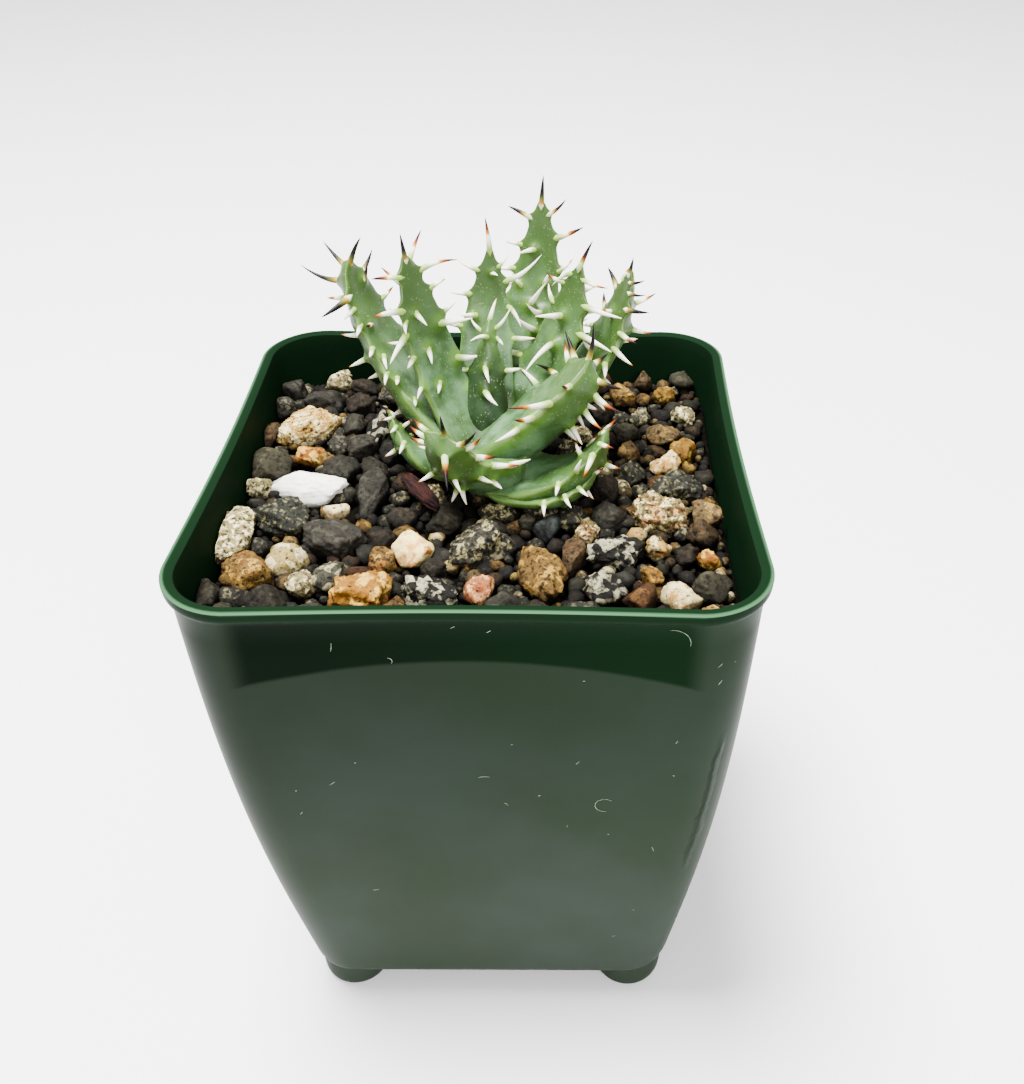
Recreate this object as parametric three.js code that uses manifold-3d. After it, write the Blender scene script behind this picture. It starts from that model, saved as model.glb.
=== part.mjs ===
// A small potted spiny aloe: a thin square nursery pot on four feet, its potting mix,
// a top dressing of mixed river gravel, a short rooted stem and a rosette of thick leaves
// that carry horn-like spines on their margins and on both faces.
// Millimetres, +Z up. The origin is the middle of the pot's footprint, on the surface
// that its feet stand on. The side that the leaves open towards is -Y.

import * as THREE from 'three';
import { mergeVertices } from 'three/addons/utils/BufferGeometryUtils.js';
import Module from 'manifold-3d';

const wasm = await Module();
wasm.setup();

// Pot
const RIM_WIDTH = 76;
const POT_HEIGHT = 89;
const BASE_WIDTH = 58.8;
const WALL = 1;
const LIP_REACH = 0.76;
const LIP_HEIGHT = 1.8;
const RIM_CORNER = 8.8;
const BASE_CORNER = 7.4;
const SIDE_BOW = 0.6;
const WALL_BULGE = 0.9;
const FOOT_HEIGHT = 5.3;
const FOOT_HALF = 5.7;
const FLOOR_THICKNESS = 1.2;
const DRAIN_RADIUS = 3;
const DRAIN_OFFSET = 11;

// Fill
const GAP = 0.3;
const MIX_TOP = 74;
const BED_TOP = 80.4;
const GRAVEL_LEVEL = 81;
const HOLLOW_RADIUS = 9;
const HOLLOW_DEPTH = 1.4;
const FILL_SPACING = 6.5;
const FILL_SEED = 41;
const STONE_SEED = 43;
const BARK_LEVEL = 83.2;
const UP = new THREE.Vector3(0, 0, 1);

// Stem
const STEM = new THREE.Vector3(0, 4, 87.4);
const STEM_RADIUS = 2.6;
const ROOT_COUNT = 4;
const ROOT_DEPTH = 52;

// Leaves and spines
const LEAF_SIDES = 10;
const LEAF_RINGS = 8;
const UPPER_SHARE = 0.24;
const LOWER_SHARE = 0.76;
const HOLLOW = 0.14;
const PEDESTAL = 0.22;
const PEDESTAL_GAIN = 0.1;
const SPINE_ROOT_RADIUS = 0.62;
const SPINE_SUNK = 1.1;
const BENT_LENGTH = 4.5;
const LEAST_CURL = 0.15;
const SPINE_SEED = 7;

// Repeatable draws

function drawsFrom(seed) {
  let state = seed >>> 0;
  return () => {
    state = (state + 0x6d2b79f5) >>> 0;
    let t = Math.imul(state ^ (state >>> 15), state | 1);
    t ^= t + Math.imul(t ^ (t >>> 7), t | 61);
    return ((t ^ (t >>> 14)) >>> 0) / 4294967296;
  };
}

// Solids

function loft(rings) {
  const sides = rings[0].length;
  const last = rings.length - 1;
  const points = rings.flat();
  const faces = [];
  for (let r = 0; r < last; r += 1) {
    for (let s = 0; s < sides; s += 1) {
      const a = r * sides + s;
      const b = r * sides + ((s + 1) % sides);
      faces.push(a, b, b + sides, a, b + sides, a + sides);
    }
  }
  const middle = (ring) => ring
    .reduce((sum, p) => sum.add(p), new THREE.Vector3())
    .divideScalar(sides);
  points.push(middle(rings[0]), middle(rings[last]));
  for (let s = 0; s < sides; s += 1) {
    const next = (s + 1) % sides;
    faces.push(points.length - 2, next, s);
    faces.push(points.length - 1, last * sides + s, last * sides + next);
  }
  const geometry = new THREE.BufferGeometry().setFromPoints(points);
  geometry.setIndex(faces);
  return geometry;
}

function solidOf(geometry) {
  const bare = geometry.clone();
  bare.deleteAttribute('normal');
  bare.deleteAttribute('uv');
  const merged = mergeVertices(bare, 1e-4);
  const corners = Array.from(merged.index.array);
  const triVerts = [];
  for (let i = 0; i < corners.length; i += 3) {
    const [a, b, c] = corners.slice(i, i + 3);
    if (a !== b && b !== c && c !== a) triVerts.push(a, b, c);
  }
  return new wasm.Manifold(new wasm.Mesh({
    numProp: 3,
    vertProperties: new Float32Array(merged.attributes.position.array),
    triVerts: new Uint32Array(triVerts),
  }));
}

function geometryOf(solid) {
  const mesh = solid.getMesh();
  const geometry = new THREE.BufferGeometry();
  const positions = new Float32Array(mesh.numVert * 3);
  for (let v = 0; v < mesh.numVert; v += 1) {
    for (let k = 0; k < 3; k += 1) {
      positions[v * 3 + k] = mesh.vertProperties[v * mesh.numProp + k];
    }
  }
  geometry.setAttribute('position', new THREE.BufferAttribute(positions, 3));
  geometry.setIndex(new THREE.BufferAttribute(new Uint32Array(mesh.triVerts), 1));
  return geometry;
}

function largestPiece(solid) {
  return solid.decompose().reduce((a, b) => (a.volume() > b.volume() ? a : b));
}

function touches(a, b) {
  return a.intersect(b).volume() > 1e-6;
}

function near(a, b) {
  return a.minGap(b, 2 * GAP) < 0.7 * GAP;
}

// A square with round corners, its sides pulled in by bow at their middles.
function roundedSquare(half, corner, bow, z, centreX = 0, centreY = 0, arcSteps = 4, sideSteps = 4) {
  const points = [];
  for (let side = 0; side < 4; side += 1) {
    const turn = (side * Math.PI) / 2;
    const place = (x, y) => points.push(new THREE.Vector3(
      centreX + x * Math.cos(turn) - y * Math.sin(turn),
      centreY + x * Math.sin(turn) + y * Math.cos(turn),
      z,
    ));
    const reach = half - corner;
    for (let i = 0; i < sideSteps; i += 1) {
      const along = i / sideSteps;
      place(half - bow * Math.sin(Math.PI * along), reach * (2 * along - 1));
    }
    for (let i = 0; i < arcSteps; i += 1) {
      const angle = (i / arcSteps) * (Math.PI / 2);
      place(reach + corner * Math.cos(angle), reach + corner * Math.sin(angle));
    }
  }
  return points;
}

// Pot

const wallTop = RIM_WIDTH / 2 - LIP_REACH;

function wallRing(z, inset) {
  const rise = (z - FOOT_HEIGHT) / (POT_HEIGHT - FOOT_HEIGHT);
  const half = THREE.MathUtils.lerp(BASE_WIDTH / 2, wallTop, rise);
  const corner = THREE.MathUtils.lerp(BASE_CORNER, RIM_CORNER, rise);
  const bow = SIDE_BOW * rise - WALL_BULGE * Math.sin(Math.PI * rise);
  return roundedSquare(half - inset, corner - inset, bow, z);
}

const lipBottom = POT_HEIGHT - LIP_HEIGHT;
const lipRing = (z, inset) => roundedSquare(RIM_WIDTH / 2 - inset, RIM_CORNER - inset, SIDE_BOW, z);
const floorTop = FOOT_HEIGHT + FLOOR_THICKNESS;
const lipSoft = 0.4;

function potShell() {
  return solidOf(loft([
    roundedSquare(BASE_WIDTH / 2 - 1, BASE_CORNER - 1, 0, FOOT_HEIGHT),
    wallRing(FOOT_HEIGHT + 1, 0),
    wallRing(26, 0),
    wallRing(46, 0),
    wallRing(68, 0),
    wallRing(lipBottom, 0),
    lipRing(lipBottom + lipSoft, 0),
    lipRing(POT_HEIGHT - lipSoft, 0),
    lipRing(POT_HEIGHT, lipSoft),
    wallRing(POT_HEIGHT, WALL - 0.1),
    wallRing(68, WALL),
    wallRing(46, WALL),
    wallRing(26, WALL),
    wallRing(floorTop, WALL),
  ]));
}

// A foot is a short round cup pressed down from the floor, open above.
function footCup(x, y, inset) {
  const ring = (half, z) => roundedSquare(half - inset, half - inset - 0.6, 0, z, x, y, 2, 1);
  const top = inset > 0 ? floorTop + 1 : FOOT_HEIGHT + 0.5;
  return solidOf(loft([
    ring(FOOT_HALF - 1, inset),
    ring(FOOT_HALF - 0.4, inset + 0.7),
    ring(FOOT_HALF, top),
  ]));
}

const footOffset = BASE_WIDTH / 2 - FOOT_HALF - 0.8;
const quadrants = [[1, 1], [-1, 1], [-1, -1], [1, -1]];

function makePot() {
  let pot = potShell();
  for (const [sx, sy] of quadrants) {
    pot = pot.add(footCup(sx * footOffset, sy * footOffset, 0));
  }
  for (const [sx, sy] of quadrants) {
    pot = pot.subtract(footCup(sx * footOffset, sy * footOffset, WALL));
  }
  const drain = new THREE.CylinderGeometry(DRAIN_RADIUS, DRAIN_RADIUS, 6, 10).rotateX(Math.PI / 2);
  const drainAt = (x, y) => solidOf(drain.clone().translate(x, y, floorTop));
  for (const [x, y] of [[1, 0], [0, 1], [-1, 0], [0, -1]]) {
    pot = pot.subtract(drainAt(x * DRAIN_OFFSET, y * DRAIN_OFFSET));
  }
  return pot;
}

// Leaves, from the heart outwards. base, middle and apex are points of the centre line.
// facing is the direction, in degrees clockwise from +Y, that the leaf leans away from
// the stem, and lift turns its upper face towards the sky. A row of spines holds the turn
// round the section in degrees (0 the right margin, 90 the upper face, 180 the left
// margin), the share of the way along, the length, and then, where it can be seen, how
// far the spine leans to the tip, how far it tilts sideways and how it curls. tip holds
// the same last four for the end spine.

const R = 0;
const L = 180;
const BACK = [[-90, 0.84, 3.4], [-60, 0.75, 3], [-90, 0.66, 3.2], [-120, 0.57, 2.8], [-90, 0.48, 3],
  [-60, 0.4, 2.4], [-90, 0.3, 2.6]];

const LEAVES = [
  {
    name: 'leaf_heart', base: [0.6, 6.4, 84.6], middle: [0.4, 9, 94.4], apex: [0.7, 12.8, 102.4],
    facing: 190, width: 6.6, thickness: 3.4, taper: 0.65, keel: 0.5, tip: [3.6, 0.2, 0.2, 0],
    spines: [[R, 0.92, 3, 1.2, -0.4, 0], [R, 0.6, 2.4], [L, 0.94, 3.6, 1.4, -0.2, 0],
      [L, 0.87, 2, -1.4, -0.6, 0], [L, 0.6, 2.4], [-100, 0.87, 3.4, 1, -1.2, -0.8],
      [-95, 0.63, 2.4, -1.4, 0.6, 0], [-95, 0.46, 4, -1, 1, 0], [90, 0.7, 2.2]],
  },
  {
    name: 'leaf_back_centre', base: [0.1, 3.6, 87], middle: [0.2, 14.6, 99], apex: [0.9, 17.7, 111.5],
    facing: 0, width: 9.2, thickness: 4.2, taper: 0.7, tip: [4.8, -0.2, 0.2, 0],
    spines: [[R, 0.91, 2, 1.4, 0.8, 0], [R, 0.82, 5.2, 0.8, 0.2, 0], [R, 0.68, 3, -1.4, -0.8, 0],
      [R, 0.5, 3], [L, 0.88, 2.8, 0.4, -0.2, 0], [L, 0.74, 2.4, 0, 0, 0], [L, 0.56, 3],
      [80, 0.87, 1.8, 1.4, 0.8, -0.8], [120, 0.62, 2.4, 0, -0.6, 0], [85, 0.46, 2.2], ...BACK],
  },
  {
    name: 'leaf_right', base: [2.7, 5, 86.5], middle: [10, 12, 98.5], apex: [13.9, 12.8, 111],
    facing: 46, width: 9.4, thickness: 4.4, taper: 0.65, tip: [4.2, -0.4, 0, 0],
    spines: [[R, 0.95, 4, 0.2, 0.2, 0], [R, 0.81, 6, 0.2, 0.2, 0], [R, 0.65, 5.4, 0, 0.2, 0],
      [R, 0.48, 3.4], [L, 0.94, 4, -1.4, 0.2, 0], [L, 0.87, 3.8, -0.2, 0.2, 0],
      [L, 0.73, 2.6, 0.6, -0.4, 0], [L, 0.4, 5.6, -0.2, 0.2, 0], [L, 0.25, 5.6, -0.4, 0.2, 0],
      [90, 0.7, 4, -0.2, -0.4, 0], [85, 0.54, 5.6, -0.2, 0.2, -0.6], ...BACK],
  },
  {
    name: 'leaf_left', base: [-0.8, 4.2, 86.5], middle: [-7.1, 9.2, 99.6], apex: [-10.1, 7.4, 114.5],
    facing: -50, width: 9.2, thickness: 4.6, taper: 0.6, tip: [3.4, -0.4, -0.2, 0],
    spines: [[R, 0.9, 5.6, 0.4, -0.6, -0.4], [R, 0.79, 2.6, 0, -0.2, 0], [R, 0.64, 2.6, 0.2, -0.2, 0],
      [L, 0.93, 5.4, 1.4, -0.8, -0.6], [L, 0.77, 5.6, 1.2, -0.4, -0.6], [L, 0.72, 1.8, -0.8, 1, 0],
      [L, 0.66, 5.4, -0.6, 0.2, 0.2], [L, 0.53, 2.4, -0.6, 0.2, 0], [L, 0.38, 2, -0.6, 0.2, 0],
      [115, 0.74, 2.8, -0.4, 0.2, 0], [60, 0.62, 5, 0, 0, 0], [110, 0.54, 3, -0.8, -0.4, 0],
      [50, 0.42, 4.4, -0.4, -0.2, 0], [115, 0.35, 1.8, -1.2, -1, 0], [50, 0.26, 4, -0.4, -0.2, 0],
      [-35, 0.95, 4.8, 0.2, -0.4, 0], ...BACK],
  },
  {
    name: 'leaf_back_tall', base: [1.1, 5.1, 86], middle: [6.3, 20.2, 98.5], apex: [8.3, 25.2, 116],
    facing: 15, width: 10.6, thickness: 4.8, taper: 0.6, tip: [4.2, -0.2, 0, 0],
    spines: [[R, 0.96, 3.6, 1.2, 0.4, 0], [R, 0.87, 4.8, 0.8, 0, -0.2], [R, 0.74, 2.4, 1.2, 0.2, 0],
      [R, 0.62, 2.2, 1.4, -0.2, 0], [L, 0.94, 4.6, 0.8, -0.2, -0.4], [L, 0.83, 2.2, 0, 0, 0],
      [L, 0.73, 2.8, -0.2, 0, 0], [L, 0.6, 2.8], [100, 0.82, 2.6, -0.2, -0.6, 0],
      [65, 0.68, 1.8, 1.4, 0, 0], [125, 0.66, 1.8, 1.2, -0.4, 0], [95, 0.58, 3.8, 1.2, 1.2, 0],
      [65, 0.56, 4.8, -1.2, -1.2, 0.8], [70, 0.48, 5.4, -0.4, -1.2, 0.4], ...BACK],
  },
  {
    name: 'leaf_front_right', base: [-1.2, 2.9, 87.2], middle: [7.9, 2, 95], apex: [15.2, 0.7, 102.2],
    facing: 100, width: 14, thickness: 8, taper: 0.5, tip: [5.4, 0.8, 0.2, 0],
    spines: [[R, 0.7, 5.4, -0.8, -1.2, 0], [R, 0.57, 4.8, -0.8, -0.8, 0],
      [R, 0.43, 3.6, -0.2, -0.4, -0.4], [R, 0.86, 3, 0.2, -0.6, 0], [L, 0.82, 5.2, 0, 0.8, 0],
      [L, 0.76, 4.4, 0, 0.8, 0], [L, 0.62, 3.6, -1, 1.2, 0], [L, 0.45, 4.6, -0.6, 1.2, 0],
      [L, 0.24, 4.2, -0.4, 1.2, 0], [L, 0.12, 3, -0.2, 1.2, 0], [-150, 0.95, 3.4, 0.6, 0.2, 0],
      [-70, 0.95, 4.4, 0.8, 0.2, 0], [-70, 0.88, 4.4, 0.4, 0, 0], [-70, 0.76, 4.2, 0.2, -0.2, 0],
      [-70, 0.62, 3.2, 0, -0.2, 0], [-110, 0.7, 3.2], [-100, 0.5, 2.8]],
  },
  {
    name: 'leaf_outer_right', base: [3.7, 5.3, 85], middle: [15.2, 12.7, 95.5], apex: [21.1, 11.1, 111],
    facing: 68, width: 9, thickness: 4.8, taper: 0.6, tip: [2.2, -0.2, 0.4, 0],
    spines: [[R, 0.97, 2.4, 1.2, 0.8, 0], [R, 0.93, 2.2, 0.6, 0.8, 0], [R, 0.86, 3.6, 0.8, 1, 0],
      [R, 0.75, 3, 0.2, 0.4, 0], [R, 0.67, 3.8, 0, 0.4, 0], [R, 0.58, 2.6, -0.6, -0.2, 0],
      [L, 0.94, 2.4, 0.4, -1.2, 0], [L, 0.88, 4.2, 0.6, 0, -0.4], [L, 0.76, 2.4, 0.4, -0.2, 0],
      [L, 0.66, 2.6, -1.2, 0.8, 0], [90, 0.8, 2.2], [90, 0.58, 2.4], ...BACK],
  },
  {
    name: 'leaf_outer_left', base: [-3, 5, 85], middle: [-13.2, 12.8, 96.5], apex: [-19.4, 14, 111],
    facing: -70, width: 9.8, thickness: 5, taper: 0.5, tip: [5.6, 1.4, -0.6, -0.4],
    spines: [[R, 0.92, 3.6, 0.4, -0.2, 0], [R, 0.76, 2.6, 0.2, -0.4, 0], [R, 0.6, 2.6],
      [L, 0.98, 3.4, 1.4, -1, -0.4], [L, 0.95, 5.4, 0.4, -1.2, 0.4], [L, 0.88, 4.6, 0, -0.4, 0],
      [L, 0.82, 2, -0.2, -0.4, 0], [L, 0.74, 2.4, -0.6, 0, 0], [L, 0.61, 2.2, -0.8, 0, 0],
      [L, 0.47, 1.8, -0.8, -0.2, 0], [65, 0.89, 1.8, 1.4, 0.6, 0], [120, 0.71, 1.8, 0.4, -1.2, 0],
      [145, 0.55, 1.8, -1.2, -0.4, 0], [150, 0.42, 1.8, -1.4, -0.6, 0], [145, 0.29, 1.8, -1.4, -0.6, 0],
      ...BACK],
  },
  {
    name: 'leaf_front', base: [3, 0.4, 85.4], middle: [-2, -4.6, 89.8], apex: [-4.2, -9.2, 96],
    facing: 213, width: 12.4, thickness: 6, taper: 0.44, tip: [3.2, 0.4, -0.3, 0],
    spines: [[R, 0.68, 3.4, 0.2, -0.2, 0], [R, 0.56, 3.4, 0.2, 0, 0], [R, 0.45, 3.2, 0.2, 0, 0],
      [R, 0.34, 3, 0.2, -0.2, 0], [R, 0.86, 3, 0.4, -0.2, 0], [L, 0.96, 3.6, 1.4, 1.2, 0],
      [L, 0.92, 3.6, 1.4, 1.2, 0], [L, 0.82, 4.2, 1.2, 0.6, -0.8], [L, 0.58, 4.8, 1, 0.4, -0.8],
      [L, 0.38, 4.6, 0.8, 0.4, -0.6], [-120, 0.95, 5, 0, 0.2, 0], [-115, 0.73, 2.6, 0, 0.6, 0],
      [-150, 0.63, 2.4, 0, 0.6, 0], [-100, 0.5, 2.4, 0, 0.6, 0], [-150, 0.46, 2.2, 0, 0.2, 0],
      [-60, 0.6, 2.4], [-70, 0.36, 2.2]],
  },
  {
    name: 'leaf_low_right', base: [2.2, 0.2, 84.8], middle: [11.6, -3.4, 87], apex: [17.5, -2.4, 92.8],
    facing: 110, width: 12, thickness: 4.6, taper: 0.5, lift: 1, tip: [2.4, -0.6, 0, 0],
    spines: [[R, 0.92, 2.2, 0.6, 1.2, 0], [R, 0.84, 3.6, -1, 0.2, 0], [R, 0.68, 1.8, 1.4, -1, 0],
      [R, 0.54, 1.8, -0.4, 0.6, 0], [L, 0.95, 3.4, 1.4, -0.6, 0], [L, 0.76, 2.6], [L, 0.58, 2.4],
      [90, 0.72, 1.8], [-90, 0.8, 2.4], [-80, 0.6, 2.2], [-90, 0.4, 2]],
  },
  {
    name: 'leaf_low_back', base: [-1.5, 6, 84], middle: [-6, 13.5, 86.5], apex: [-9.5, 18, 92],
    facing: -28, width: 8.4, thickness: 4.2, taper: 0.6, tip: [3, 0, 0, 0],
    spines: [[R, 0.9, 3], [R, 0.75, 2.8], [R, 0.58, 2.6], [L, 0.88, 3], [L, 0.72, 2.8], [L, 0.55, 2.6],
      [90, 0.8, 2.4], [-90, 0.78, 2.6], [-80, 0.6, 2.4]],
  },
  {
    name: 'leaf_low_left', base: [-3.4, 3.8, 84.2], middle: [-10, 4.4, 86.2], apex: [-13.9, 7.9, 89.6],
    facing: -75, width: 7.4, thickness: 4, taper: 0.7, tip: [2.4, -0.6, -0.2, 0],
    spines: [[R, 0.88, 2.6], [R, 0.7, 2.4], [L, 0.94, 1.8, -0.2, -1.2, 0], [L, 0.8, 1.8, -1.4, -1.2, 0],
      [L, 0.6, 1.8, -0.8, -1.2, 0], [90, 0.8, 2], [-90, 0.66, 2]],
  },
  {
    name: 'leaf_lowest_right', base: [2.6, -1, 84], middle: [10.2, -5.4, 84.4], apex: [15.8, -5.4, 87.4],
    facing: 125, width: 9, thickness: 3, taper: 0.5, lift: 1.2, tip: [1.8, -0.2, 0, 0],
    spines: [[R, 0.84, 1.8, 0.6, 1.2, 0], [R, 0.7, 1.8, 0.4, 1.2, 0], [R, 0.52, 1.8, 0.2, 1, 0],
      [L, 0.88, 2.2], [L, 0.7, 2.2], [-90, 0.6, 1.8]],
  },
];

// The centre line is the parabola through base, middle and apex.
function centreLine(leaf) {
  const [base, middle, apex] = [leaf.base, leaf.middle, leaf.apex].map((p) => new THREE.Vector3(...p));
  const pull = middle.clone().multiplyScalar(2).sub(base.clone().add(apex).multiplyScalar(0.5));
  return new THREE.QuadraticBezierCurve3(base, pull, apex);
}

// right points to the right margin and face out of the upper face.
function leafFrame(leaf, curve, u) {
  const along = curve.getTangent(u).normalize();
  const lean = THREE.MathUtils.degToRad(leaf.facing);
  const inward = new THREE.Vector3(-Math.sin(lean), -Math.cos(lean), leaf.lift ?? 0);
  const right = new THREE.Vector3().crossVectors(along, inward).normalize();
  const face = new THREE.Vector3().crossVectors(right, along);
  return { point: curve.getPoint(u), along, right, face };
}

function leafSection(leaf, u) {
  const swell = u < 0.18 ? 0.86 + 0.14 * Math.sin((u / 0.18) * (Math.PI / 2)) : 1;
  const share = swell * (1 - u * u) ** leaf.taper;
  const half = (leaf.width / 2) * share;
  const depth = Math.min(leaf.thickness * share ** 0.8, 2 * half);
  return { half, depth };
}

// The upper face is a little hollow, and the lower face is full or drawn out to a keel.
function faceHeight(leaf, turn) {
  const rise = Math.sin(turn);
  if (rise > 0) return UPPER_SHARE * rise - HOLLOW * rise ** 3;
  return LOWER_SHARE * rise * (1 - (leaf.keel ?? 0) * (1 + rise));
}

// A point of the skin: turn is 0 at the right margin and a quarter circle at the upper face.
function skinPoint(leaf, curve, u, turn, grow = 0) {
  const { point, right, face } = leafFrame(leaf, curve, u);
  const { half, depth } = leafSection(leaf, u);
  return point
    .addScaledVector(right, (half + grow) * Math.cos(turn))
    .addScaledVector(face, faceHeight(leaf, turn) * depth + grow * Math.sin(turn));
}

function leafBody(leaf, grow = 0) {
  const curve = centreLine(leaf);
  const rings = [];
  for (let r = 0; r < LEAF_RINGS; r += 1) {
    const u = 1 - (1 - r / (LEAF_RINGS - 1)) ** 1.35;
    const held = Math.min(u, 0.985);
    const ring = [];
    for (let s = 0; s < LEAF_SIDES; s += 1) {
      ring.push(skinPoint(leaf, curve, held, (-s / LEAF_SIDES) * 2 * Math.PI, grow));
    }
    rings.push(ring);
  }
  const ends = [[0, -grow], [LEAF_RINGS - 1, grow]];
  for (const [r, shift] of ends) {
    const { along } = leafFrame(leaf, curve, r === 0 ? 0 : 1);
    rings[r].forEach((p) => p.addScaledVector(along, shift));
  }
  return solidOf(loft(rings));
}

// A spine is a three-sided horn that stands in a low pedestal and may bend once.
function spine(root, aim, bend, length, sunk) {
  const side = new THREE.Vector3().crossVectors(aim, Math.abs(aim.z) < 0.9 ? UP : STEM).normalize();
  const up = new THREE.Vector3().crossVectors(aim, side);
  const thick = SPINE_ROOT_RADIUS * Math.min(1, 0.55 + length / 10);
  const bent = length > BENT_LENGTH && bend.length() > LEAST_CURL;
  const levels = [[-sunk, thick], [length * 0.5, thick * 0.7], [length, 0]]
    .filter((_, i) => i !== 1 || bent);
  return solidOf(loft(levels.map(([reach, radius]) => {
    const curl = Math.max(reach, 0) ** 2 / length;
    const centre = root.clone().addScaledVector(aim, reach).addScaledVector(bend, curl);
    return [0, 1, 2].map((i) => centre.clone()
      .addScaledVector(side, radius * Math.cos((i * 2 * Math.PI) / 3))
      .addScaledVector(up, radius * Math.sin((i * 2 * Math.PI) / 3)));
  })));
}

// Where nothing is listed, spines lean to the tip near the apex and to the stem lower down.
function usualHabit(u, draw) {
  return [0.7 * u - 0.35 + 0.5 * (draw() - 0.5), 0.5 * (draw() - 0.5), 0.34 * (draw() - 0.35)];
}

function leafSpines(leaf, draw) {
  const curve = centreLine(leaf);
  const spines = leaf.spines.map(([degrees, u, length, ...listed]) => {
    const [lean, tilt, curl] = listed.length > 0 ? listed : usualHabit(u, draw);
    const turn = THREE.MathUtils.degToRad(degrees);
    const { along, right, face } = leafFrame(leaf, curve, u);
    const out = right.clone().multiplyScalar(Math.cos(turn)).addScaledVector(face, Math.sin(turn));
    const side = new THREE.Vector3().crossVectors(along, out);
    const aim = out.clone().addScaledVector(along, lean).addScaledVector(side, tilt).normalize();
    const pedestal = PEDESTAL + PEDESTAL_GAIN * length;
    const root = skinPoint(leaf, curve, u, turn).addScaledVector(out, pedestal);
    return spine(root, aim, along.clone().multiplyScalar(curl), length, SPINE_SUNK + pedestal);
  });
  const [length, lean, tilt, curl] = leaf.tip;
  const { point, along, face } = leafFrame(leaf, curve, 0.985);
  const side = new THREE.Vector3().crossVectors(face, along);
  const aim = along.clone().addScaledVector(face, lean).addScaledVector(side, tilt).normalize();
  return [...spines, spine(point, aim, face.clone().multiplyScalar(curl), length, SPINE_SUNK)];
}

// Stem and roots

function tubeThrough(centres, radii, sides) {
  const rings = centres.map((centre, i) => {
    const before = centres[Math.max(i - 1, 0)];
    const after = centres[Math.min(i + 1, centres.length - 1)];
    const axis = after.clone().sub(before).normalize();
    const side = new THREE.Vector3().crossVectors(axis, new THREE.Vector3(0.31, 0.95, 0)).normalize();
    const up = new THREE.Vector3().crossVectors(axis, side);
    return Array.from({ length: sides }, (_, k) => centre.clone()
      .addScaledVector(side, radii[i] * Math.cos((k / sides) * 2 * Math.PI))
      .addScaledVector(up, radii[i] * Math.sin((k / sides) * 2 * Math.PI)));
  });
  return solidOf(loft(rings));
}

// grow makes the same shape wider all round, for the room that it stands in.
function makeStem(grow) {
  const at = (z) => STEM.clone().setZ(z);
  const radii = [1.4, STEM_RADIUS, STEM_RADIUS, 1.6].map((radius) => radius + grow);
  let stem = tubeThrough([at(60 - grow), at(78), at(84), at(STEM.z + grow)], radii, 8);
  for (let i = 0; i < ROOT_COUNT; i += 1) {
    const turn = (i / ROOT_COUNT) * 2 * Math.PI + 0.4;
    const reach = new THREE.Vector3(Math.cos(turn), Math.sin(turn), 0);
    const start = at(70 - i * 1.6);
    const elbow = start.clone().addScaledVector(reach, 11).setZ(start.z - 6);
    const end = elbow.clone().addScaledVector(reach, 7 + grow).setZ(ROOT_DEPTH - 4 * i - grow);
    stem = stem.add(tubeThrough([start, elbow, end], [1.3, 1, 0.5].map((r) => r + grow), 5));
  }
  return stem;
}

// Potting mix

function fillRings(levels) {
  return solidOf(loft(levels.map((z) => wallRing(z, WALL + GAP))));
}

// Stones that stand out in the dressing: place, length, width, height and turn in degrees.
const LOOSE_STONES = [
  { name: 'stone_white', at: [-26.4, 0.4], size: [12.4, 7.6, 5], turn: -14 },
  { name: 'stone_dark_flecked', at: [-27.8, -7.4], size: [9, 8, 5.4], turn: -20 },
  { name: 'stone_dark_smooth', at: [-20, -13], size: [9, 6.8, 5], turn: -10 },
  { name: 'stone_pale_granite', at: [-34.2, -11.4], size: [6.4, 13, 5.6], turn: -4 },
  { name: 'stone_cream', at: [-29.4, 17.4], size: [11.4, 8, 5.6], turn: 16 },
  { name: 'stone_orange', at: [-14.6, -25], size: [8.6, 8, 6], turn: 8 },
  { name: 'stone_black_streaked', at: [-5.4, -25.4], size: [9.6, 6.6, 5.4], turn: -12 },
  { name: 'stone_grey_granite', at: [0, -13.9], size: [10.2, 8.8, 6.4], turn: 24 },
  { name: 'stone_tan_long', at: [8.7, -20], size: [12.4, 6.4, 5.4], turn: -72 },
  { name: 'stone_gold_grey', at: [25.8, -6.8], size: [9.6, 7.8, 5.8], turn: 6 },
  { name: 'stone_black_speckled', at: [19, -15.4], size: [8.6, 6.4, 5.4], turn: 10 },
  { name: 'stone_dark_green', at: [29.3, 1], size: [9, 6.4, 5], turn: -12 },
];

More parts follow.
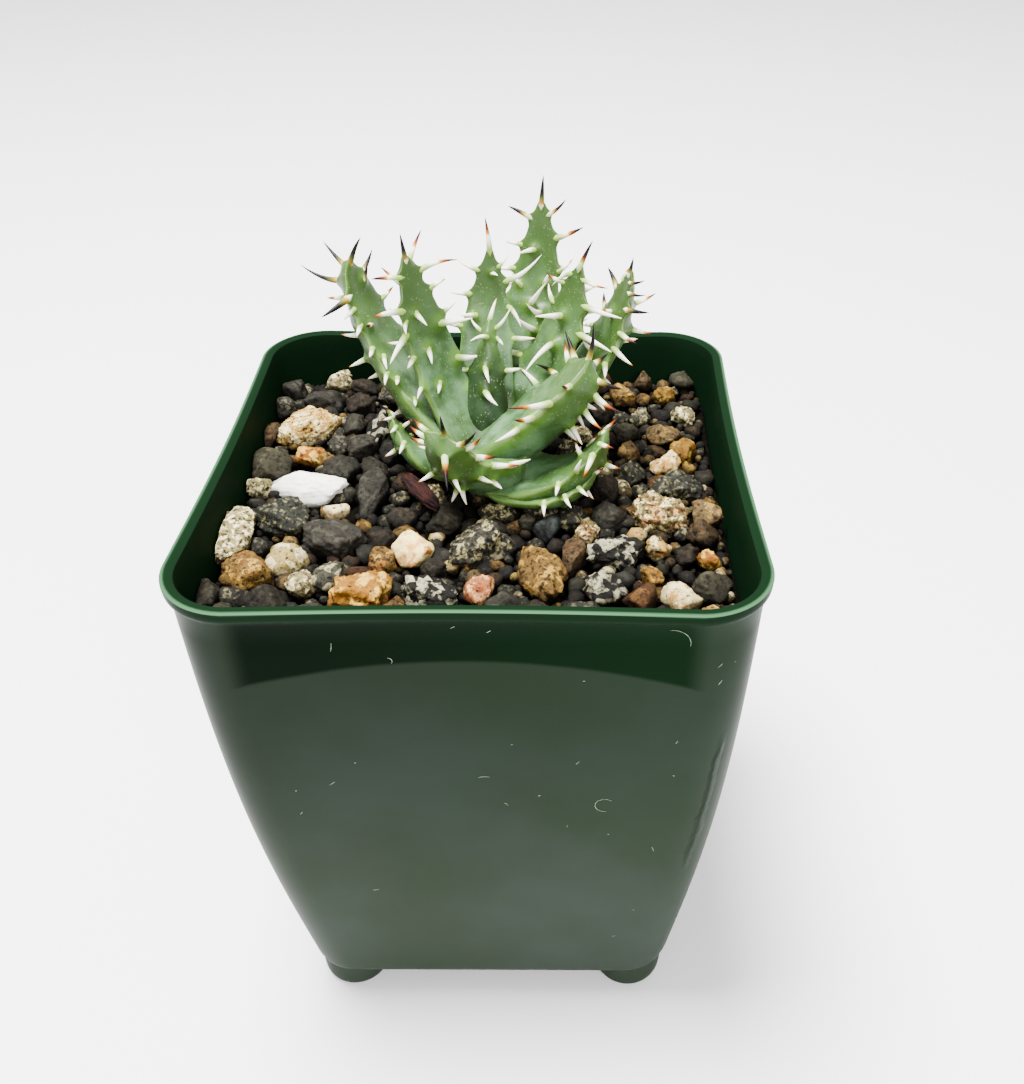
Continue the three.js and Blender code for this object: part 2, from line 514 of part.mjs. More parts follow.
// The other stones that can be told apart, fused into the bed.
const BED_STONES = [
  [-27.2, 8.8, 5.5, 4.6, 3.8, 20], [-22, 5.4, 5.6, 6, 4.2, -30], [-16.4, -1.6, 4.8, 11, 5.6, -6],
  [-17.4, 16.6, 5, 12, 5.8, -8], [-33.4, 6.4, 7.6, 8.4, 5, 10], [-35, 15.4, 3.6, 6, 4, 0],
  [-20.8, -6.2, 3.9, 3.6, 3.6, 0], [-25.6, -17.6, 6, 5.2, 4.2, 8], [-30.6, -20.6, 7, 7.4, 5, 25],
  [-26.4, -26, 6, 6, 4.2, 40], [-22.8, -22.6, 4.2, 4.4, 3.8, 0], [-19, -21, 4.4, 6.6, 4.4, -12],
  [-12.8, -18, 4.2, 4.6, 4, 15], [-13.4, -12.6, 4.6, 3.6, 3.4, 0], [-8.6, -15.4, 6, 6.4, 4.8, 20],
  [-11.2, -7.6, 4.4, 3.8, 3.6, 0], [-21.4, -29, 6.4, 4.6, 3.8, 0], [-31.8, -28.4, 3.4, 3.4, 3, 0],
  [-34.6, -25.4, 3.8, 5, 4, 0], [-5, -8, 6, 6, 4.4, 20], [2.6, -6, 6.2, 4.8, 4, -12],
  [0.8, -23.6, 4.4, 5.6, 4.4, 10], [6.6, -8.4, 2.8, 3, 2.8, 0], [9.6, -9.4, 4.4, 5, 3.8, 0],
  [13.2, -8, 5.4, 5, 4, 15], [14.8, -12, 3.8, 6, 4, -14], [18.2, -7, 5.4, 5, 4.2, 8],
  [32.4, -6.6, 4.6, 6, 4.4, 0], [17.2, -22.8, 5.6, 6.6, 4.8, 20], [25, -14, 3.8, 4, 3.4, 0],
  [28.8, -15.6, 3.4, 4, 3.2, 0], [31.8, -17, 3.6, 3.4, 3.2, 0], [21.8, -25.6, 4.8, 5, 4.2, 0],
  [23.8, -20.8, 3.2, 3.4, 3, 0], [27.2, -25.2, 4.8, 5, 4.2, 25], [31.4, -22.6, 5.4, 5.4, 4.2, -25],
  [14.4, -28.6, 6.2, 4.4, 3.8, 0], [4, -27, 4.8, 4.8, 3.6, 0], [13.2, -17, 3.4, 6.4, 4, -10],
  [27.4, 6.6, 5, 5.2, 4.2, 0], [22.2, 4.8, 4.8, 5.2, 4, 0], [22, 10.6, 3.8, 4, 3.4, 0],
  [-34.4, 30, 5.4, 5, 4.2, 0], [-27, 33, 5, 4.4, 4.4, 20], [-22.2, 31, 4.8, 4, 3.6, 0],
  [-34.2, 24.4, 5.4, 5, 4.2, 0], [-28.4, 26.6, 6.6, 5, 4.2, 0], [-22, 25.4, 5.2, 5, 4.2, 0],
  [-22, 18.4, 3.8, 5.4, 4, 0], [-23.4, 11.6, 3.6, 4.6, 3.6, 0], [-5.6, -19.6, 3.6, 3.6, 3.2, 0],
];

// A stone is a faceted ball whose corners are drawn in and out.
function ballShape(detail) {
  const ball = new THREE.IcosahedronGeometry(1, detail);
  ball.deleteAttribute('normal');
  ball.deleteAttribute('uv');
  const merged = mergeVertices(ball, 1e-4);
  const positions = merged.attributes.position;
  const corners = Array.from({ length: positions.count }, (_, i) => (
    new THREE.Vector3().fromBufferAttribute(positions, i)));
  return { corners, faces: Array.from(merged.index.array) };
}

// Small stones fill the bed between the listed ones.
function fillPlaces(taken, draw) {
  const reach = RIM_WIDTH / 2 - WALL - 3.4;
  const places = [];
  for (let row = 0, y = -reach; y <= reach; row += 1, y += FILL_SPACING * 0.86) {
    for (let x = -reach + (row % 2) * FILL_SPACING * 0.5; x <= reach; x += FILL_SPACING) {
      const at = [x + 1.6 * (draw() - 0.5), y + 1.6 * (draw() - 0.5)];
      const size = [3.6 + 2.4 * draw(), 3.4 + 2 * draw(), 3.2 + 1.4 * draw()];
      const turn = 180 * draw();
      const free = taken.every(([tx, ty, length, width]) => (
        Math.hypot(at[0] - tx, at[1] - ty) > 0.36 * Math.hypot(length, width) + 0.2 * size[0]));
      if (free) places.push([...at, ...size, turn]);
    }
  }
  return places;
}

function inHollow(x, y) {
  return Math.hypot(x - STEM.x, y - STEM.y) < HOLLOW_RADIUS;
}

// Bark chip: a bent sliver lying on the stones by the stem.
function barkChip(grow) {
  const from = new THREE.Vector3(-12.2, 1.2, BARK_LEVEL);
  const to = new THREE.Vector3(-5.8, -8.2, BARK_LEVEL);
  const axis = to.clone().sub(from).normalize();
  const side = new THREE.Vector3().crossVectors(UP, axis);
  const widths = [[0, 0.5, 0], [0.3, 1.2, 0.3], [0.65, 1.3, 0.3], [1, 0.5, 0]];
  const rings = widths.map(([share, half, lift]) => {
    const reach = share * (from.distanceTo(to) + 2 * grow) - grow;
    const centre = from.clone().addScaledVector(axis, reach).addScaledVector(UP, lift);
    return [[1, -1], [1, 1], [-1, 1], [-1, -1]].map(([across, up]) => centre.clone()
      .addScaledVector(side, across * (half + grow))
      .addScaledVector(UP, up * (0.55 + grow)));
  });
  return solidOf(loft(rings));
}

// Assembly

const colours = {
  pot: 0x2c4a35, mix: 0x2b2119, gravel: 0x6f685c, stem: 0x8a8a5c, leaf: 0x6f9468, bark: 0x5e2f22,
};

const stoneColours = {
  stone_white: 0xf0eee8, stone_dark_flecked: 0x4b4a45, stone_dark_smooth: 0x484643,
  stone_pale_granite: 0xc9c1ad, stone_cream: 0xe2c795, stone_orange: 0xc0823c,
  stone_black_streaked: 0x2e2d2c, stone_grey_granite: 0x77776f, stone_tan_long: 0xb9975c,
  stone_gold_grey: 0xa08d63, stone_black_speckled: 0x5d5b57, stone_dark_green: 0x4c4f45,
};

const group = new THREE.Group();

function addPiece(name, solid, colour, roughness) {
  const material = new THREE.MeshStandardMaterial({ color: colour, roughness, metalness: 0 });
  const mesh = new THREE.Mesh(geometryOf(solid), material);
  mesh.name = name;
  group.add(mesh);
}

addPiece('pot', makePot(), colours.pot, 0.35);

const stem = makeStem(0);
const stemRoom = makeStem(GAP + 0.05);
addPiece('stem_and_roots', stem, colours.stem, 0.8);
addPiece('potting_mix', fillRings([floorTop + GAP, 30, 52, MIX_TOP]).subtract(stemRoom), colours.mix, 1);

// Each leaf gives way to the leaves nearer the heart, as they do where they clasp the stem.
const drawSpine = drawsFrom(SPINE_SEED);
const bodies = LEAVES.map((leaf) => ({ leaf, body: leafBody(leaf), room: leafBody(leaf, GAP + 0.08) }));
bodies.forEach((entry, index) => {
  let body = entry.body.subtract(stemRoom);
  for (const inner of bodies.slice(0, index)) body = body.subtract(inner.room);
  entry.body = largestPiece(body);
});

// A spine is left out where it would run into another leaf, its spines or the gravel.
const bedLow = MIX_TOP + GAP;
const dressing = fillRings([bedLow, GRAVEL_LEVEL + 2.8]);
const kept = [];
const finishedLeaves = bodies.map(({ leaf, body }, index) => {
  const others = bodies.filter((_, i) => i !== index);
  let whole = body;
  for (const horn of leafSpines(leaf, drawSpine)) {
    const rooted = touches(horn, body);
    const free = !touches(horn, stemRoom)
      && !touches(horn, dressing)
      && others.every((other) => !touches(horn, other.room))
      && kept.every((k) => k.index === index || !near(horn, k.horn));
    if (rooted && free) {
      whole = whole.add(horn);
      kept.push({ index, horn });
    }
  }
  return { leaf, whole: largestPiece(whole) };
});
for (const { leaf, whole } of finishedLeaves) addPiece(leaf.name, whole, colours.leaf, 0.6);

// Gravel: the bed and its stones make way for the leaves and for the loose stones.
const drawStone = drawsFrom(STONE_SEED);
const insidePot = fillRings([bedLow, GRAVEL_LEVEL + 6]);
const lowPlant = wasm.Manifold.union([stemRoom, ...bodies.map(({ room }) => room)]);

function settledStone([x, y, length, width, height, turn], detail) {
  const { corners, faces } = ballShape(detail);
  const spread = detail > 0 ? 0.2 : 0.3;
  const uneven = corners.map(() => 1.06 + spread * (drawStone() - 0.5));
  const ball = (grow) => {
    const points = corners.map((corner, i) => corner.clone()
      .multiplyScalar(uneven[i])
      .multiply(new THREE.Vector3(length / 2 + grow, width / 2 + grow, height / 2 + grow))
      .applyAxisAngle(UP, THREE.MathUtils.degToRad(turn)));
    const geometry = new THREE.BufferGeometry().setFromPoints(points);
    geometry.setIndex(faces);
    return solidOf(geometry);
  };
  let z = GRAVEL_LEVEL + 0.06 * height - (inHollow(x, y) ? HOLLOW_DEPTH : 0);
  const stone = ball(0);
  while (z > GRAVEL_LEVEL - 2.5 && touches(stone.translate([x, y, z]), lowPlant)) z -= 0.5;
  return {
    stone: stone.translate([x, y, z]).intersect(insidePot),
    room: ball(GAP + 0.06).translate([x, y, z]),
  };
}

const loose = [];
for (const { name, at, size, turn } of LOOSE_STONES) {
  const { stone, room } = settledStone([...at, ...size, turn], 1);
  const clear = loose.reduce((left, other) => left.subtract(other.room), stone);
  loose.push({ name, room, stone: largestPiece(clear.subtract(lowPlant)) });
}

const looseFootprints = LOOSE_STONES.map(({ at, size }) => [...at, ...size]);
const places = fillPlaces([...looseFootprints, ...BED_STONES], drawsFrom(FILL_SEED));
const bedStones = [
  ...BED_STONES.map((stone) => settledStone(stone, stone[2] * stone[3] > 34 ? 1 : 0).stone),
  ...places.map((stone) => settledStone(stone, 0).stone),
];
const hollow = new THREE.CylinderGeometry(HOLLOW_RADIUS, HOLLOW_RADIUS - 3, 4, 16)
  .rotateX(Math.PI / 2)
  .translate(STEM.x, STEM.y, BED_TOP - HOLLOW_DEPTH + 2);
let gravel = fillRings([bedLow, BED_TOP]).subtract(solidOf(hollow));
gravel = wasm.Manifold.union([gravel, ...bedStones]).subtract(lowPlant);

const barkRoom = barkChip(GAP);
gravel = gravel.subtract(wasm.Manifold.union([barkRoom, ...loose.map(({ room }) => room)]));
addPiece('gravel', largestPiece(gravel), colours.gravel, 0.8);
addPiece('bark_chip', barkChip(0), colours.bark, 0.9);
for (const { name, stone } of loose) addPiece(name, stone, stoneColours[name], 0.7);

export default group;
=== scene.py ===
# %% [markdown]
# # A small spiny aloe in a square nursery pot
#
# A young aloe stands in a thin plastic pot that is filled with gravel. The packed model gives the
# exact place of every piece. Here each piece gets its fine shape and its finish, one lesson at a time.
# Lengths are typed in millimetres, as a maker would write them, and turned into metres by `MM`.

# %% Load the packed model
import math

import bmesh
import bpy
import numpy as np
from mathutils import Matrix, Vector


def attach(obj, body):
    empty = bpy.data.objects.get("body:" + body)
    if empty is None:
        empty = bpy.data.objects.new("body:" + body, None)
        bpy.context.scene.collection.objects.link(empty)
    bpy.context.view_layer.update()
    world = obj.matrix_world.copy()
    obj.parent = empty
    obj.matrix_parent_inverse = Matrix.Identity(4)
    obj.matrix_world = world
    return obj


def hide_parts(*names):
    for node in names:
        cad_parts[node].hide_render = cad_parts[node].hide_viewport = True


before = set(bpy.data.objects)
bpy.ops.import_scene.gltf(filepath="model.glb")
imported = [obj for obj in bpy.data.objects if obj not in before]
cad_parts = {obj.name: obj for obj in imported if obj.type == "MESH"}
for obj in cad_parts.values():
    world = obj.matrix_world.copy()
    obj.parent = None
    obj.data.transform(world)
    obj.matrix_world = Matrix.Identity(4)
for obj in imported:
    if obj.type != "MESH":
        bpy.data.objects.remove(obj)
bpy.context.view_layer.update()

MM = 0.001

# %% [markdown]
# ## The camera
#
# The photograph was taken by hand, from a little over the plant, looking down at about 34 degrees.
# A camera can be placed by eye, but the four corners of a square rim and base fix it exactly, so the
# place, the tilt and the lens come from them. The shift moves the picture's middle without turning
# the camera, which keeps the pot's sides converging as they should.

# %% Camera
CAMERA_PLACE = (11.787, -140.326, 175.169)
PITCH, ROLL = math.radians(34.1125), math.radians(0.2482)
LENS_MM = 37.755
SHIFT_X, SHIFT_Y = -0.0473, -0.0417


def put_in_scene(name, data):
    thing = bpy.data.objects.new(name, data)
    bpy.context.scene.collection.objects.link(thing)
    return thing


def make_camera():
    ahead = Vector((0, math.cos(PITCH), -math.sin(PITCH)))
    level = Vector((1, 0, 0))
    above = level.cross(ahead)
    right = math.cos(ROLL) * level + math.sin(ROLL) * above
    up = math.cos(ROLL) * above - math.sin(ROLL) * level
    data = bpy.data.cameras.new("camera")
    data.lens, data.shift_x, data.shift_y = LENS_MM, SHIFT_X, SHIFT_Y
    camera = put_in_scene("camera", data)
    turned = Matrix((right, up, -ahead)).transposed().to_4x4()
    camera.matrix_world = Matrix.Translation(Vector(CAMERA_PLACE) * MM) @ turned
    bpy.context.scene.camera = camera
    return camera


camera = make_camera()
print("camera looks down", round(math.degrees(PITCH), 1), "degrees, lens", round(camera.data.lens, 2))

# %% [markdown]
# ## Building nodes in code
#
# Materials and Geometry Nodes are both graphs. Typing them node by node gets long, so `Graph.add`
# adds a node, sets its properties, and either fills or links each input. An input is named, or
# counted as n0, n1 and so on where several have one name. One output comes back as a `Value`, and
# sums of values make the math nodes, so a formula reads as it would on paper.

# %% Node helper
def colour(code):
    parts = [int(code[i:i + 2], 16) / 255 for i in (1, 3, 5)]
    return (*[v / 12.92 if v <= 0.04045 else ((v + 0.055) / 1.055) ** 2.4 for v in parts], 1.0)


class Value:
    def __init__(self, graph, socket):
        self.graph, self.socket = graph, socket

    def __abs__(self):
        return self.graph.maths("ABSOLUTE", self)


class Graph:
    def __init__(self, tree):
        self.tree = tree

    def plug(self, value, socket):
        if isinstance(value, Value):
            self.tree.links.new(value.socket, socket)
        else:
            is_colour = isinstance(value, str) and value.startswith("#")
            socket.default_value = colour(value) if is_colour else value

    def add(self, kind, props=None, out=0, **inputs):
        node = self.tree.nodes.new(kind)
        for key, value in (props or {}).items():
            setattr(node, key, value)
        for key, value in inputs.items():
            numbered = key[0] == "n" and key[1:].isdigit()
            self.plug(value, node.inputs[int(key[1:]) if numbered else key.replace("_", " ")])
        return Value(self, node.outputs[out])

    def maths(self, operation, first, second=0.0):
        return self.add("ShaderNodeMath", {"operation": operation}, n0=first, n1=second)

    def vector(self, operation, first, **inputs):
        return self.add("ShaderNodeVectorMath", {"operation": operation}, n0=first, **inputs)

    def split(self, value):
        return [Value(self, part) for part in self.add("ShaderNodeSeparateXYZ", n0=value).socket.node.outputs]

    def scaled_and_shifted(self, place, scale, own):
        shift = self.add("ShaderNodeCombineXYZ", X=own, Y=own, Z=own)
        return self.vector("ADD", self.vector("SCALE", place, Scale=scale), n1=shift)


def maths_for(operation, swapped=False):
    return lambda one, other: one.graph.maths(operation, *((other, one) if swapped else (one, other)))


for word, operation in (("add", "ADD"), ("sub", "SUBTRACT"), ("mul", "MULTIPLY"), ("truediv", "DIVIDE")):
    setattr(Value, f"__{word}__", maths_for(operation))
    setattr(Value, f"__r{word}__", maths_for(operation, swapped=True))
print("a mid grey is", [round(v, 3) for v in colour("#808080")])

# %% [markdown]
# ## What finishes share
#
# Real surfaces vary at two or three sizes at once. `cloudy` gives a soft noise on the object's own
# coordinates, `between` turns a value into a mask with a chosen edge, `blend` mixes two colours and
# `read` fetches a value that was kept on the mesh.

# %% Finish helper
class Finish(Graph):
    def __init__(self, name):
        self.material = bpy.data.materials.new(name)
        self.material.use_nodes = True
        super().__init__(self.material.node_tree)
        self.tree.nodes.clear()
        self.shader = self.tree.nodes.new("ShaderNodeBsdfPrincipled")
        output = self.tree.nodes.new("ShaderNodeOutputMaterial")
        self.tree.links.new(self.shader.outputs[0], output.inputs[0])
        self.place = self.add("ShaderNodeTexCoord", out="Object")

    def noise(self, place, scale, detail, rough):
        return self.add("ShaderNodeTexNoise", Vector=place, Scale=scale, Detail=detail, Roughness=rough)

    def cloudy(self, size_mm, detail=3.0, rough=0.55, stretch=None, place=None):
        place = place or self.place
        if stretch:
            place = self.add("ShaderNodeMapping", Vector=place, Scale=stretch)
        return self.noise(place, 1 / (size_mm * MM), detail, rough)

    def read(self, name, out="Fac"):
        return self.add("ShaderNodeAttribute", {"attribute_name": name}, out=out)

    def between(self, value, low, high, to_low=0.0, to_high=1.0):
        return self.add("ShaderNodeMapRange", {"interpolation_type": "SMOOTHSTEP"}, Value=value,
                        From_Min=low, From_Max=high, To_Min=to_low, To_Max=to_high)

    def blend(self, share, first, second, how="MIX"):
        return self.add("ShaderNodeMix", {"data_type": "RGBA", "blend_type": how}, out=2,
                        n0=share, n6=first, n7=second)

    def raised(self, height, depth_mm, strength=1.0, **under):
        return self.add("ShaderNodeBump", Height=height, Distance=depth_mm * MM, Strength=strength, **under)

    def done(self, **settings):
        for name, value in settings.items():
            self.plug(value, self.shader.inputs[name.replace("_", " ")])
        return self.material

    def grained(self, grain, edges, tones, depth_mm, strength, **settings):
        """Gives two tones by one grain, which is also the relief."""
        tone = self.blend(self.between(grain, *edges), *tones)
        return self.done(Base_Color=tone, Normal=self.raised(grain, depth_mm, strength), **settings)


print("a finish knows", ", ".join(word for word in vars(Finish) if word[0] != "_"))

# %% [markdown]
# ## Meshes from rings
#
# The pot, the leaves and the bark are all skins stretched over a row of closed rings. `skin` joins
# the rings with quads and closes both ends. `make_piece` makes the object at the origin, with its
# place in its mesh, `make_plain` keeps what a modifier made of it, and `settle` gives it a finish and
# lets it ride with the model. `table` reads the lists of measures further on.

# %% Mesh helpers
def round_turns(count):
    return np.linspace(0, 2 * math.pi, count, endpoint=False)


def turned_level(points, angle):
    c, s = math.cos(angle), math.sin(angle)
    return points @ np.array([[c, s, 0], [-s, c, 0], [0, 0, 1]])


def direction_of(vectors):
    return vectors / np.linalg.norm(vectors, axis=-1, keepdims=True)


def skin(rings):
    rings = np.asarray(rings, float)
    count, sides, _ = rings.shape
    points = np.vstack([rings.reshape(-1, 3), rings[0].mean(0), rings[-1].mean(0)])
    first, last, top = count * sides, count * sides + 1, (count - 1) * sides
    after = [(s + 1) % sides for s in range(sides)]
    faces = [(r + s, r + t, r + sides + t, r + sides + s)
             for r in range(0, top, sides) for s, t in enumerate(after)]
    for s, t in enumerate(after):
        faces += [(first, t, s), (last, top + s, top + t)]
    return points, faces


def make_piece(name, points, faces):
    mesh = bpy.data.meshes.new(name)
    mesh.from_pydata([tuple(p) for p in np.asarray(points) * MM], [], [tuple(f) for f in faces])
    mesh.polygons.foreach_set("use_smooth", [True] * len(mesh.polygons))
    mesh.update()
    return put_in_scene(name, mesh)


def merged(parts):
    starts = np.cumsum([0] + [len(points) for points, _ in parts])
    faces = [[i + start for i in face] for (_, own), start in zip(parts, starts) for face in own]
    return np.vstack([points for points, _ in parts]), faces


def keep_values(piece, **values):
    for name, data in values.items():
        data = np.asarray(data, np.float32)
        layer = piece.data.attributes.new(name, ("FLOAT", "FLOAT_VECTOR")[data.ndim - 1], "POINT")
        layer.data.foreach_set("vector" if data.ndim == 2 else "value", data.ravel())


def make_plain(piece):
    mesh = bpy.data.meshes.new_from_object(piece.evaluated_get(bpy.context.evaluated_depsgraph_get()))
    piece.modifiers.clear()
    piece.data = mesh


def dress(piece, material):
    piece.data.materials.clear()
    piece.data.materials.append(material)


def settle(piece, material, slot, *nodes):
    dress(piece, material)
    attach(piece, "root")
    if nodes:
        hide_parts(*nodes)
    print(piece.name, sum(len(p.vertices) - 2 for p in piece.data.polygons), "triangles")


def table(text):
    def read(word):
        return word if word[0].isalpha() or word[0] == "#" else float(word)
    return [[read(word) for word in row.split()] for row in text.split(",")]


print("a ring of 4 and a ring of 4 give", len(skin(np.zeros((2, 4, 3)))[1]), "faces")

# %% [markdown]
# ## The pot
#
# A square nursery pot is moulded from a sheet barely a millimetre thick. Its sides taper, bow in a
# little along the rim and swell a little half way down, and a thin lip runs round the top. Box
# modelling would give these curves by luck. A loft of rounded squares gives each of them its own
# number. The swell was read from the outline in the photograph; the rest is as in the solid model.

# %% Pot sizes
RIM_WIDTH, BASE_WIDTH, POT_HEIGHT = 76, 58.8, 89
WALL = 1
LIP_REACH, LIP_HEIGHT = 0.76, 1.8
RIM_CORNER, BASE_CORNER = 8.8, 7.4
SIDE_BOW, WALL_BULGE = 0.6, 1.5
FOOT_HEIGHT, FOOT_HALF = 5.3, 5.7
FLOOR_TOP = FOOT_HEIGHT + 1.2
DRAIN_RADIUS, DRAIN_OFFSET = 3, 11
FOOT_OFFSET = BASE_WIDTH / 2 - FOOT_HALF - 0.8
ARC_STEPS, SIDE_STEPS = 14, 18


def rounded_square(half, corner, bow, z):
    reach, quarter = half - corner, []
    for i in range(SIDE_STEPS):
        along = i / SIDE_STEPS
        quarter.append((half - bow * math.sin(math.pi * along), reach * (2 * along - 1)))
    for i in range(ARC_STEPS):
        angle = i / ARC_STEPS * math.pi / 2
        quarter.append((reach + corner * math.cos(angle), reach + corner * math.sin(angle)))
    turns = [(math.cos(t), math.sin(t)) for t in np.arange(4) * math.pi / 2]
    return [(x * c - y * s, x * s + y * c, z) for c, s in turns for x, y in quarter]


def wall_size(z):
    rise = (z - FOOT_HEIGHT) / (POT_HEIGHT - FOOT_HEIGHT)
    taper = rise * (RIM_WIDTH / 2 - LIP_REACH - BASE_WIDTH / 2)
    half = BASE_WIDTH / 2 + taper + WALL_BULGE * np.sin(math.pi * rise)
    return half, BASE_CORNER + rise * (RIM_CORNER - BASE_CORNER), SIDE_BOW * rise


def wall_ring(z, inset):
    half, corner, bow = wall_size(z)
    return rounded_square(half - inset, corner - inset, bow, z)


print("ring at mid height is", round(2 * max(p[0] for p in wall_ring(47, 0)), 1), "mm across")

# %% [markdown]
# ## Shell, feet and drain holes
#
# The rings run up the outside, over the lip and down the inside, so the wall is closed from the
# start. Feet and holes cross it, and a Boolean with round stubs cuts them cleanly. The edges that a
# cut leaves are marked sharp by their angle, and the rest is shaded smooth.

# %% Pot shell
LIP_LOW = POT_HEIGHT - LIP_HEIGHT
FOOT_PROFILE = [(4.2, 0), (4.8, 0.12), (5.25, 0.5), (5.5, 1.2), (5.65, 2.6), (FOOT_HALF, FOOT_HEIGHT + 0.5)]
CUP_PROFILE = [(3.6, 1.0), (4.2, 1.3), (4.6, 2.4), (4.7, FLOOR_TOP + 0.6)]
DRAIN_PROFILE = [(DRAIN_RADIUS, FOOT_HEIGHT - 2), (DRAIN_RADIUS, FLOOR_TOP + 2)]
SHARP_ANGLE = math.radians(32)


def lip_ring(turn):
    swing = math.radians(turn)
    out = LIP_REACH * (0.5 + 0.5 * math.sin(min(swing + math.pi / 2, math.pi / 2)))
    height = LIP_LOW + LIP_HEIGHT * (0.5 + 0.5 * math.sin(swing)) * 0.95
    return wall_ring(height, -out * (1 - 0.25 * (turn > 80)))


def pot_shell():
    low = [(FOOT_HEIGHT, 1.6), (FOOT_HEIGHT + 0.15, 0.7), (FOOT_HEIGHT + 0.9, 0.12)]
    low += [(z, 0) for z in np.linspace(FOOT_HEIGHT + 2, LIP_LOW - 0.8, 26)]
    over = [(POT_HEIGHT, -0.35), (POT_HEIGHT, 0.3), (POT_HEIGHT - 0.25, WALL - 0.15)]
    down = [(z, WALL) for z in np.linspace(POT_HEIGHT - 1.2, FLOOR_TOP + 1.5, 22)]
    down += [(FLOOR_TOP + 0.3, WALL + 0.4), (FLOOR_TOP, WALL + 1.3)]
    lip = [lip_ring(turn) for turn in np.linspace(-90, 90, 9)]
    rings = [wall_ring(*place) for place in low] + lip + [wall_ring(*place) for place in over + down]
    return make_piece("pot_shell", *skin(rings))


def change(target, operation, x, y, profile, sides=48):
    rings = [[(x + r * math.cos(a), y + r * math.sin(a), z) for a in round_turns(sides)] for r, z in profile]
    tool = make_piece("stub", *skin(rings))
    step = target.modifiers.new("change", "BOOLEAN")
    step.operation, step.object, step.solver = operation, tool, "EXACT"
    make_plain(target)
    bpy.data.objects.remove(tool)


def mark_sharp_edges(piece):
    work = bmesh.new()
    work.from_mesh(piece.data)
    for edge in work.edges:
        edge.smooth = len(edge.link_faces) == 2 and edge.calc_face_angle(0) < SHARP_ANGLE
    work.to_mesh(piece.data)
    work.free()


pot = pot_shell()
corners = [(sx * FOOT_OFFSET, sy * FOOT_OFFSET) for sx in (1, -1) for sy in (1, -1)]
for x, y in corners:
    change(pot, "UNION", x, y, FOOT_PROFILE)
for x, y in corners:
    change(pot, "DIFFERENCE", x, y, CUP_PROFILE)
for x, y in ((1, 0), (0, 1), (-1, 0), (0, -1)):
    change(pot, "DIFFERENCE", x * DRAIN_OFFSET, y * DRAIN_OFFSET, DRAIN_PROFILE, 32)
pot.name = "pot_body"
mark_sharp_edges(pot)
keep_values(pot, facing=[Vector((v.co.x, v.co.y)).normalized().dot(v.normal.xy) for v in pot.data.vertices])
print("pot has", len(pot.data.vertices), "points")

# %% [markdown]
# ## Green moulded plastic
#
# The plastic is dark bottle green and smooth, yet never clean: handling leaves a thin dusty film on
# the walls. Its pale colour is partly that dust and partly a painted reflection of the white floor,
# which grows stronger lower down. It stops short of the lip along an arch, and the dark plastic left
# above it is a painted dark reflection. It is a mask from the height and a cloudy noise, and it changes
# the colour and the gloss together. A painted highlight runs along the lip's outer edge, and one
# corner has a long dent, painted darker in its crease as painted shade. The base green is also painted
# darker on the left than on the right, as painted shade.

# %% Pot material
BAND_EDGE, BAND_SIDE, ARCH_DROP = 0.0804, 0.0266, 5
LIP_START, HIGHLIGHT_START = 0.0868, 0.0884
DENT_MIDDLE, DENT_HALF = 0.051, 0.016


def pot_plastic():
    green = Finish("green_moulded_plastic")
    between, blend = green.between, green.blend
    x, y, z = green.split(green.place)
    facing = green.read("facing")
    inside = between(facing, -0.1, -0.5)
    patches, grain = green.cloudy(30, 4), green.cloudy(0.9, 4, 0.6)
    across = green.maths("MINIMUM", abs(x), abs(y))
    # painted reflection and dust: the pale film is partly dust and partly the floor's reflection; the dark
    # arch under the lip is a painted dark reflection
    dust_and_reflection = between(patches * 0.0012 + (across * across * ARCH_DROP + z), BAND_EDGE + 0.0008, BAND_EDGE)
    dust_and_reflection = green.maths("MAXIMUM", dust_and_reflection, between(across, BAND_SIDE, BAND_SIDE + 0.0036))
    # the film grows paler lower down, as a painted reflection of the floor
    dust_and_reflection = dust_and_reflection * between(z, 0.08, 0.01, 0.48, 1.0)
    # painted shade: the base green is darker towards the left side
    base = blend(between(x, -0.03, 0.03), "#020a03", "#041507")
    tone = blend(dust_and_reflection * 0.9, base, blend(between(patches, 0.35, 0.7), "#272f25", "#2d342e"))
    tone = blend(inside, tone, "#08190c")
    tone = blend(between(z, LIP_START, LIP_START + 0.0008), tone, "#0a1a0d")
    # painted highlight along the lip's rounded outer edge
    lip_highlight = between(z, HIGHLIGHT_START, HIGHLIGHT_START + 0.0004) * between(facing, 0.05, 0.3)
    lip_highlight = lip_highlight * between(facing, 0.85, 0.65)
    tone = blend(lip_highlight * 0.8, tone, "#3b5c40")
    gloss = inside * 0.3 + (dust_and_reflection * 0.08 + 0.3)
    slanted = z * -0.05 + (x + y + green.cloudy(6, 3) * 0.003)
    dent = (1.0 - between(abs(slanted + 0.0032), 0, 0.0014)) * between(x, 0.015, 0.02)
    dent = dent * between(abs(z - DENT_MIDDLE), DENT_HALF, DENT_HALF - 0.006)
    # painted shade: the dent's crease is painted darker
    tone = blend(dent * 0.4, tone, "#0a120a")
    bump = green.raised(patches, 0.35, 0.35, Normal=green.raised(grain, 0.015, 0.15))
    bump = green.raised(dent, 0.5, 0.5, Normal=bump)
    return green.done(Base_Color=tone, Roughness=gloss, Normal=bump, Specular_IOR_Level=0.008)


settle(pot, pot_plastic(), "pot", "pot")

# %% [markdown]
# ## Lint
#
# Fine pale fibres and specks of dust cling to the plastic. Painted marks would look flat from near,
# so they are thin threads laid on the wall. Each row holds the place on the front wall, the length,
# the direction in degrees and how far round it curls. The other walls get a few by a seeded draw.

